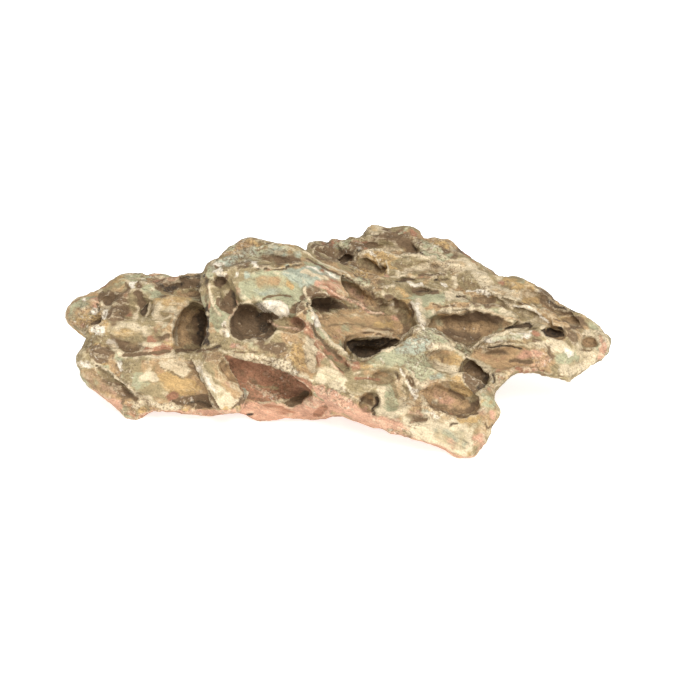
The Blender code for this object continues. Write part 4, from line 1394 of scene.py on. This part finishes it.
@dataclass(frozen=True)
class DragonStone:
    """The stone's visual form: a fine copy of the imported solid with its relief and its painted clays.

    Sizes are in millimetres. Faces that are in sight by more than the share called shown are made finer.
    The calm shares are what is left of the bowls and the grit where the clay isn't crumbly. The fine and
    broad bulges tell crests from hollows; each is a number of evening steps and the height that counts
    as 1.
    """

    view: PhotoView = PhotoView()
    beds: Beds = Beds()
    sight: Sight = Sight()
    roughness: Roughness = Roughness()
    carving: Carving = Carving()
    shelter: Shelter = Shelter()
    voxel: float = 1.78
    soften: float = 0.5
    shown: float = 0.5
    merge: float = 0.001
    bowls: Dents = Dents(8.5, 2.2, (1.7, 1.0, 1.2), 2.0, 9.0, 0.35, Seed.SCALLOPS)
    calm_bowls: float = 0.35
    dimples: Dents = Dents(3.8, 0.8, (1.5, 1.0, 1.0), 0.8, 4.0, 0.3, Seed.DIMPLES)
    dimple_power: float = 1.5
    bed_pitch: float = 3.4
    bed_stretch: tuple[float, float, float] = (6.0, 1.0, 6.0)
    bed_rise: float = 0.35
    bed_power: float = 0.6
    grit_size: float = 2.2
    grit_rise: float = 0.22
    calm_grit: float = 0.4
    margin: float = 2.0
    purity: float = 1.7
    fine_bulge: tuple[int, float] = (4, 0.18)
    broad_bulge: tuple[int, float] = (30, 0.9)
    crest_fine: float = 0.7
    hollow_fine: float = 0.5
    bulge_limit: float = 1.2
    shelter_seen: float = 0.3

    def build(self) -> bpy.types.Object:
        """Builds the stone.

        Returns:
            The finished object, with its clay masks but no material.
        """
        stone = self._fine_copy()
        surface = Surface(stone.data)
        seen = self.sight.measure(surface)
        bedding = self.beds.coordinates(surface)
        rough = self.roughness.measure(surface, seen)
        scale = self.calm_bowls + (1.0 - self.calm_bowls) * rough
        surface.lift(self.bowls.heights(surface, bedding) * scale)
        coat = self.carving.carve(surface, seen)
        self._crumble(surface, bedding, seen)
        self._settle(surface)
        self._keep_masks(surface, coat, bedding, seen)
        stone.data.shade_smooth()
        return stone

    def _fine_copy(self) -> bpy.types.Object:
        """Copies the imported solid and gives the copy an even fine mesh, finer where the picture looks.

        Returns:
            The new object.
        """
        rough = bpy.data.meshes.new("rough_stone")
        shape = bmesh.new()
        shape.from_mesh(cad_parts[STONE_NODE].data)
        bmesh.ops.remove_doubles(shape, verts=shape.verts, dist=self.merge * MM)
        shape.to_mesh(rough)
        shape.free()
        source = bpy.data.objects.new("rough_stone", rough)
        bpy.context.scene.collection.objects.link(source)
        remesh = source.modifiers.new("even", "REMESH")
        remesh.mode = "VOXEL"
        remesh.voxel_size = self.voxel * MM
        smooth = source.modifiers.new("soften", "SMOOTH")
        smooth.factor = self.soften
        smooth.iterations = 1
        evaluated = source.evaluated_get(bpy.context.evaluated_depsgraph_get())
        mesh = bpy.data.meshes.new_from_object(evaluated)
        mesh.name = "dragon_stone"
        bpy.data.objects.remove(source)
        self._refine(mesh)
        stone = bpy.data.objects.new("dragon_stone", mesh)
        bpy.context.scene.collection.objects.link(stone)
        return stone

    def _refine(self, mesh: bpy.types.Mesh) -> None:
        """Halves the edges of the faces that the picture shows."""
        seen = self.sight.measure(Surface(mesh)) > self.shown
        shape = bmesh.new()
        shape.from_mesh(mesh)
        shape.verts.ensure_lookup_table()
        edges = [edge for edge in shape.edges if all(seen[vert.index] for vert in edge.verts)]
        bmesh.ops.subdivide_edges(shape, edges=edges, cuts=1, use_grid_fill=True, smooth=0.0)
        shape.to_mesh(mesh)
        shape.free()

    def _crumble(self, surface: Surface, bedding: np.ndarray, seen: np.ndarray) -> None:
        """Adds dimples, bed edges and grit."""
        rough = self.roughness.measure(surface, seen)
        layered = clouds(bedding / np.array(self.bed_stretch), self.bed_pitch, Seed.BED_EDGES)
        grit = clouds(surface.places, self.grit_size, Seed.GRIT, octaves=2)
        height = self.dimples.heights(surface, bedding) * rough**self.dimple_power
        height += self.bed_rise * np.sign(layered) * np.abs(layered) ** self.bed_power
        height += self.grit_rise * grit * (self.calm_grit + (1.0 - self.calm_grit) * rough)
        surface.lift(height)

    def _settle(self, surface: Surface) -> None:
        """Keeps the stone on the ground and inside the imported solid's box."""
        low, high = (np.array(corner) / MM for corner in cad_box)
        surface.places = np.clip(surface.places, low - self.margin, high + self.margin)
        surface.places[:, 2] = np.maximum(surface.places[:, 2], 0.0)
        surface.write()

    def _keep_masks(self, surface: Surface, coat: Coat, bedding: np.ndarray, seen: np.ndarray) -> None:
        """Stores on the mesh what the material reads."""
        total = sum(share**self.purity for share in coat.shares.values())
        for clay, share in coat.shares.items():
            surface.store(clay.value, surface.average(share**self.purity / total))
        sizes = (self.fine_bulge, self.broad_bulge)
        fine, broad = (surface.bulge(times) / height for times, height in sizes)
        crest = self.crest_fine * fine + (1.0 - self.crest_fine) * broad
        hollow = -self.hollow_fine * fine - (1.0 - self.hollow_fine) * broad
        surface.store("crest", np.clip(crest, 0.0, self.bulge_limit))
        surface.store("hollow", np.clip(hollow, 0.0, self.bulge_limit))
        surface.store("crumbly", self.roughness.measure(surface, seen) ** 2)
        # The shelter darkens hollows in the material as dirt and painted shade; it is weaker on faces in
        # sight of the camera, where the render shades hollows itself.
        sheltered = self.shelter.measure(surface) * (1.0 - self.shelter_seen * seen)
        surface.store("shelter", surface.average(sheltered))
        surface.store_vectors("bedding", bedding * MM)


class Socket:
    """A node's output that can be used in Python expressions."""

    def __init__(self, shader: "Shader", output: bpy.types.NodeSocket) -> None:
        """Keeps the output and the shader that it is in."""
        self.shader = shader
        self.output = output

    def _math(self, operation: str, first: "Socket | float", second: "Socket | float") -> "Socket":
        """Adds a Math node on two values."""
        return self.shader.node("ShaderNodeMath", {"operation": operation}, {0: first, 1: second})

    def __add__(self, other: "Socket | float") -> "Socket":
        """Adds a value."""
        return self._math("ADD", self, other)

    def __radd__(self, other: float) -> "Socket":
        """Adds to a number."""
        return self._math("ADD", other, self)

    def __sub__(self, other: "Socket | float") -> "Socket":
        """Subtracts a value."""
        return self._math("SUBTRACT", self, other)

    def __rsub__(self, other: float) -> "Socket":
        """Subtracts from a number."""
        return self._math("SUBTRACT", other, self)

    def __mul__(self, other: "Socket | float") -> "Socket":
        """Multiplies by a value."""
        return self._math("MULTIPLY", self, other)

    def __rmul__(self, other: float) -> "Socket":
        """Multiplies a number."""
        return self._math("MULTIPLY", other, self)

    def rise(self, low: float, high: float) -> "Socket":
        """Gives 0 below low, 1 above high and a straight rise between them."""
        settings = {"interpolation_type": "LINEAR", "clamp": True}
        inputs = {"Value": self, "From Min": low, "From Max": high}
        return self.shader.node("ShaderNodeMapRange", settings, inputs)

    def swing(self) -> "Socket":
        """Gives how far a noise is from its middle."""
        return self - 0.5


class Shader:
    """A material's node tree, built from expressions."""

    def __init__(self, name: str) -> None:
        """Starts an empty material."""
        self.material = bpy.data.materials.new(name)
        self.material.use_nodes = True
        self.tree = self.material.node_tree
        self.tree.nodes.clear()

    def node(self, kind: str, settings: dict, inputs: dict, output: int | str = 0) -> Socket:
        """Adds any node.

        Args:
            kind: The node's type.
            settings: Its properties, set before its sockets.
            inputs: Values or links of its sockets, by name or number.
            output: Which output is wanted.

        Returns:
            The wanted output.
        """
        made = self.tree.nodes.new(kind)
        for name, value in settings.items():
            setattr(made, name, value)
        for name, value in inputs.items():
            if isinstance(value, Socket):
                self.tree.links.new(value.output, made.inputs[name])
            else:
                made.inputs[name].default_value = value
        return Socket(self, made.outputs[output])

    def finish(self, surface: Socket) -> None:
        """Gives the material its surface."""
        output = self.tree.nodes.new("ShaderNodeOutputMaterial")
        self.tree.links.new(surface.output, output.inputs["Surface"])

    def attribute(self, name: str, output: str = "Fac") -> Socket:
        """Reads a named attribute of the mesh."""
        return self.node("ShaderNodeAttribute", {"attribute_name": name}, {}, output)

    def mix(self, share: Socket | float, first: Socket | tuple, second: Socket | tuple) -> Socket:
        """Mixes two colours.

        Args:
            share: Share of the second colour.
            first: First colour.
            second: Second colour.

        Returns:
            The mixed colour.
        """
        settings = {"data_type": "RGBA", "blend_type": "MIX", "clamp_factor": True}
        return self.node("ShaderNodeMix", settings, {0: share, 6: first, 7: second}, 2)

    def scaled(self, colour: Socket, factor: Socket) -> Socket:
        """Makes a colour lighter or darker."""
        return self.node("ShaderNodeVectorMath", {"operation": "SCALE"}, {0: colour, "Scale": factor})


@dataclass(frozen=True)
class Texture:
    """One noise in the clay, with lumps of a size in millimetres.

    The shade is how much it changes the colour and the height how high it stands in the bumps. It is drawn
    out by the stretch.
    """

    size: float
    detail: float
    shade: float = 0.0
    height: float = 0.0
    stretch: tuple[float, float, float] | None = None
    roughness: ClassVar[float] = 0.6

    def add(self, shader: Shader, place: Socket) -> Socket:
        """Adds the noise.

        Args:
            shader: The material's nodes.
            place: The place in the stone or in its beds.

        Returns:
            The noise, about 0.5.
        """
        if self.stretch:
            inputs = {0: place, 1: tuple(1.0 / part for part in self.stretch)}
            place = shader.node("ShaderNodeVectorMath", {"operation": "MULTIPLY"}, inputs)
        inputs = {"Vector": place, "Scale": 1.0 / (self.size * MM), "Detail": self.detail,
                  "Roughness": self.roughness}
        return shader.node("ShaderNodeTexNoise", {}, inputs)


@dataclass(frozen=True)
class WearAndShade:
    """A colour that is laid over the clay where an attribute of the surface is high: pale colour on crests,
    and dark colour in hollows and sheltered places that is partly painted shade.

    It shows from the first edge on and has its full share at the second. Mottle and grain break it up.
    """

    attribute: str
    colour: str
    share: float
    edges: tuple[float, float]
    mottle: float
    grain: float = 0.0


@dataclass(frozen=True)
class Claystone:
    """The stone's finish: dry matt clay in many colours, with streaks along its beds and pale crests, and
    hollows and sheltered places darkened partly by brown clay and dirt and partly by painted shade.
    """

    olive: tuple = (0.285, 0.220, 0.115, 1)
    tan: tuple = (0.390, 0.255, 0.130, 1)
    green: tuple = (0.350, 0.335, 0.205, 1)
    slate: tuple = (0.340, 0.355, 0.265, 1)
    ochre: tuple = (0.430, 0.285, 0.125, 1)
    rust: tuple = (0.330, 0.165, 0.095, 1)
    rose: tuple = (0.500, 0.285, 0.185, 1)
    cream: tuple = (0.570, 0.465, 0.305, 1)
    white: tuple = (0.720, 0.640, 0.510, 1)
    # Brown clay, also used for pits; where it darkens grooves and hollows, partly painted shade.
    brown: tuple = (0.155, 0.100, 0.055, 1)
    # Painted shade: the near-black of caves, slots and cracks.
    deep_shade: tuple = (0.050, 0.036, 0.024, 1)
    # Dirt and painted shade, laid in sheltered places.
    soil_and_shade: tuple = (0.105, 0.070, 0.043, 1)
    streaks: Texture = Texture(1.6, 4.0, 0.8, 0.35, (9.0, 1.0, 5.0))
    hairs: Texture = Texture(0.55, 2.0, 0.7, 0.25, (8.0, 1.0, 5.0))
    mottle: Texture = Texture(5.0, 4.0, 0.7)
    grain: Texture = Texture(0.8, 3.0, 1.1, 0.5)
    specks: Texture = Texture(0.35, 1.0, 0.0, 0.3)
    # Noises that break up the edges between the clays, which take them in turn.
    borders: tuple[Texture, ...] = (
        Texture(2.6, 5.0), Texture(1.7, 5.0, stretch=(1.0, 1.0, 1.01)), Texture(4.4, 6.0))
    border_change: float = 0.7
    border_edges: tuple[float, float] = (0.18, 0.6)
    border_streaks: float = 0.5
    # Crests turn cream; brown in hollows and soil in sheltered places are partly painted shade.
    wear_and_shade_layers: tuple[WearAndShade, ...] = (
        WearAndShade("crest", "cream", 0.55, (0.4, 1.1), 0.4, 0.5), WearAndShade("hollow", "brown", 0.45, (0.3, 1.1), 0.5),
        WearAndShade("shelter", "soil_and_shade", 0.6, (0.48, 0.95), 0.15))
    pits: Texture = Texture(1.3, 3.0)
    pit_edges: tuple[float, float] = (0.59, 0.69)
    pit_share: float = 0.25
    pit_crumbly: float = 0.5
    crust: Texture = Texture(2.1, 4.0)
    crust_edges: tuple[float, float] = (0.67, 0.77)
    crust_share: float = 0.45
    crust_shelter: float = 0.3
    crumbly_more: float = 0.12
    roughness: float = 0.88
    roughness_change: float = 0.12
    specular: float = 0.3
    bump_strength: float = 0.9
    bump_height: float = 0.8

    def material(self) -> bpy.types.Material:
        """Builds the finish.

        Returns:
            The material.
        """
        shader = Shader("claystone")
        place = shader.node("ShaderNodeTexCoord", {}, {}, "Object")
        beds = shader.attribute("bedding", "Vector")
        textures = (self.streaks, self.hairs, self.mottle, self.grain, self.specks)
        noises = [texture.add(shader, beds if texture.stretch else place) for texture in textures]
        streaks, _, mottle, grain, _ = noises
        colour = self._clays(shader, place, streaks)
        colour = self._wear_and_shade(shader, colour, place, mottle, grain)
        shade, height = 1.0, 0.0
        for texture, value in zip(textures, noises):
            shade = shade + texture.shade * value.swing()
            height = height + texture.height * value
        bump = shader.node("ShaderNodeBump", {}, {
            "Strength": self.bump_strength, "Distance": self.bump_height * MM, "Height": height}, "Normal")
        rough = self.roughness - self.roughness_change * mottle.swing()
        finish = shader.node("ShaderNodeBsdfPrincipled", {}, {
            "Base Color": shader.scaled(colour, shade), "Roughness": rough,
            "Specular IOR Level": self.specular, "Normal": bump})
        shader.finish(finish)
        return shader.material

    def _clays(self, shader: Shader, place: Socket, streaks: Socket) -> Socket:
        """Lays the clays over each other, with broken edges.

        Args:
            shader: The material's nodes.
            place: The place in the stone.
            streaks: Noise drawn out along the beds.

        Returns:
            The colour.
        """
        noises = [border.add(shader, place) for border in self.borders]
        noises[-1] = (1.0 - self.border_streaks) * noises[-1] + self.border_streaks * streaks
        colour = self.olive
        for number, clay in enumerate(list(Clay)[1:]):
            mask = shader.attribute(clay.value) + self.border_change * noises[number % len(noises)].swing()
            colour = shader.mix(mask.rise(*self.border_edges), colour, getattr(self, clay.value))
        return colour

    def _wear_and_shade(self, shader: Shader, colour: Socket, place: Socket, mottle: Socket, grain: Socket) -> Socket:
        """Makes crests paler, darkens hollows and sheltered places partly as painted shade, and adds pits
        and crusts.

        Args:
            shader: The material's nodes.
            colour: The clays' colour.
            place: The place in the stone.
            mottle: Soft noise.
            grain: Fine noise.

        Returns:
            The worn colour.
        """
        levels = {}
        # Crests turn cream, hollows brown and sheltered places soil; the dark ones are partly painted shade.
        for overlay in self.wear_and_shade_layers:
            level = shader.attribute(overlay.attribute) + overlay.mottle * mottle.swing()
            levels[overlay.attribute] = level + overlay.grain * grain.swing()
            share = overlay.share * levels[overlay.attribute].rise(*overlay.edges)
            colour = shader.mix(share, colour, getattr(self, overlay.colour))
        crumbly = shader.attribute("crumbly")
        pits = self.pits.add(shader, place) + self.crumbly_more * crumbly
        share = (self.pit_share + self.pit_crumbly * crumbly) * pits.rise(*self.pit_edges)
        colour = shader.mix(share, colour, self.brown)
        crust = self.crust.add(shader, place) + self.crumbly_more * crumbly
        crust = crust - self.crust_shelter * levels["shelter"]
        return shader.mix(self.crust_share * crust.rise(*self.crust_edges), colour, self.white)


@dataclass(frozen=True)
class FloorPaint:
    """The floor's finish: matt white that glows a little, so that it shows as white as in the photograph."""

    white: tuple = (0.9, 0.9, 0.9, 1)
    roughness: float = 0.9
    glow: float = 0.75

    def material(self) -> bpy.types.Material:
        """Builds the finish.

        Returns:
            The material.
        """
        shader = Shader("white_floor")
        finish = shader.node("ShaderNodeBsdfPrincipled", {}, {
            "Base Color": self.white, "Roughness": self.roughness, "Emission Color": self.white,
            "Emission Strength": self.glow})
        shader.finish(finish)
        return shader.material


@dataclass(frozen=True)
class Studio:
    """A white floor, soft light from above and in front, and the photograph's camera. Sizes in metres."""

    view: PhotoView = PhotoView()
    paint: FloorPaint = FloorPaint()
    floor_size: float = 8.0
    sky: float = 0.62
    key_power: float = 21.0
    key_size: float = 0.7
    key_place: tuple[float, float, float] = (0.2, -1.05, 0.95)

    def build(self) -> None:
        """Puts up the floor, the lights and the camera."""
        self._floor()
        self._lights()
        self._camera()
        bpy.context.scene.view_settings.view_transform = "Standard"

    def _floor(self) -> None:
        """Lays the floor."""
        shape = bmesh.new()
        bmesh.ops.create_grid(shape, x_segments=1, y_segments=1, size=self.floor_size / 2)
        mesh = bpy.data.meshes.new("floor")
        shape.to_mesh(mesh)
        shape.free()
        floor = bpy.data.objects.new("floor", mesh)
        bpy.context.scene.collection.objects.link(floor)
        mesh.materials.append(self.paint.material())

    def _lights(self) -> None:
        """Hangs a large soft lamp and lights the room evenly."""
        world = bpy.data.worlds.new("studio")
        bpy.context.scene.world = world
        world.use_nodes = True
        background = world.node_tree.nodes["Background"]
        background.inputs["Color"].default_value = (1, 1, 1, 1)
        background.inputs["Strength"].default_value = self.sky
        lamp = bpy.data.lights.new("softbox", "AREA")
        lamp.shape = "DISK"
        lamp.size = self.key_size
        lamp.energy = self.key_power
        self._aim(bpy.data.objects.new("softbox", lamp), self.key_place, self.key_place)

    def _camera(self) -> None:
        """Sets up the photograph's camera."""
        data = bpy.data.cameras.new("photo_camera")
        data.sensor_width = self.view.sensor
        data.lens = self.view.lens
        camera = bpy.data.objects.new("photo_camera", data)
        self._aim(camera, self.view.eye * MM, self.view.to_eye)
        bpy.context.scene.camera = camera

    def _aim(self, thing: bpy.types.Object, place: tuple | np.ndarray, back: tuple | np.ndarray) -> None:
        """Puts a lamp or camera in the scene.

        Args:
            thing: The lamp or camera.
            place: Where it stands.
            back: The direction that its back faces.
        """
        thing.location = place
        thing.rotation_mode = "QUATERNION"
        thing.rotation_quaternion = Vector(back).to_track_quat("Z", "Y")
        bpy.context.scene.collection.objects.link(thing)


def main() -> None:
    """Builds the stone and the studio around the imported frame."""
    logging.basicConfig(level=logging.INFO, format="%(name)s: %(message)s")
    stone = DragonStone().build()
    stone.data.materials.clear()
    stone.data.materials.append(Claystone().material())
    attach(stone, "root")
    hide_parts(STONE_NODE)
    triangles = sum(len(polygon.vertices) - 2 for polygon in stone.data.polygons)
    log.info("stone: %d vertices, %d triangles", len(stone.data.vertices), triangles)
    Studio().build()
    log.info("studio: floor, lights and camera")


if __name__ == "__main__":
    main()
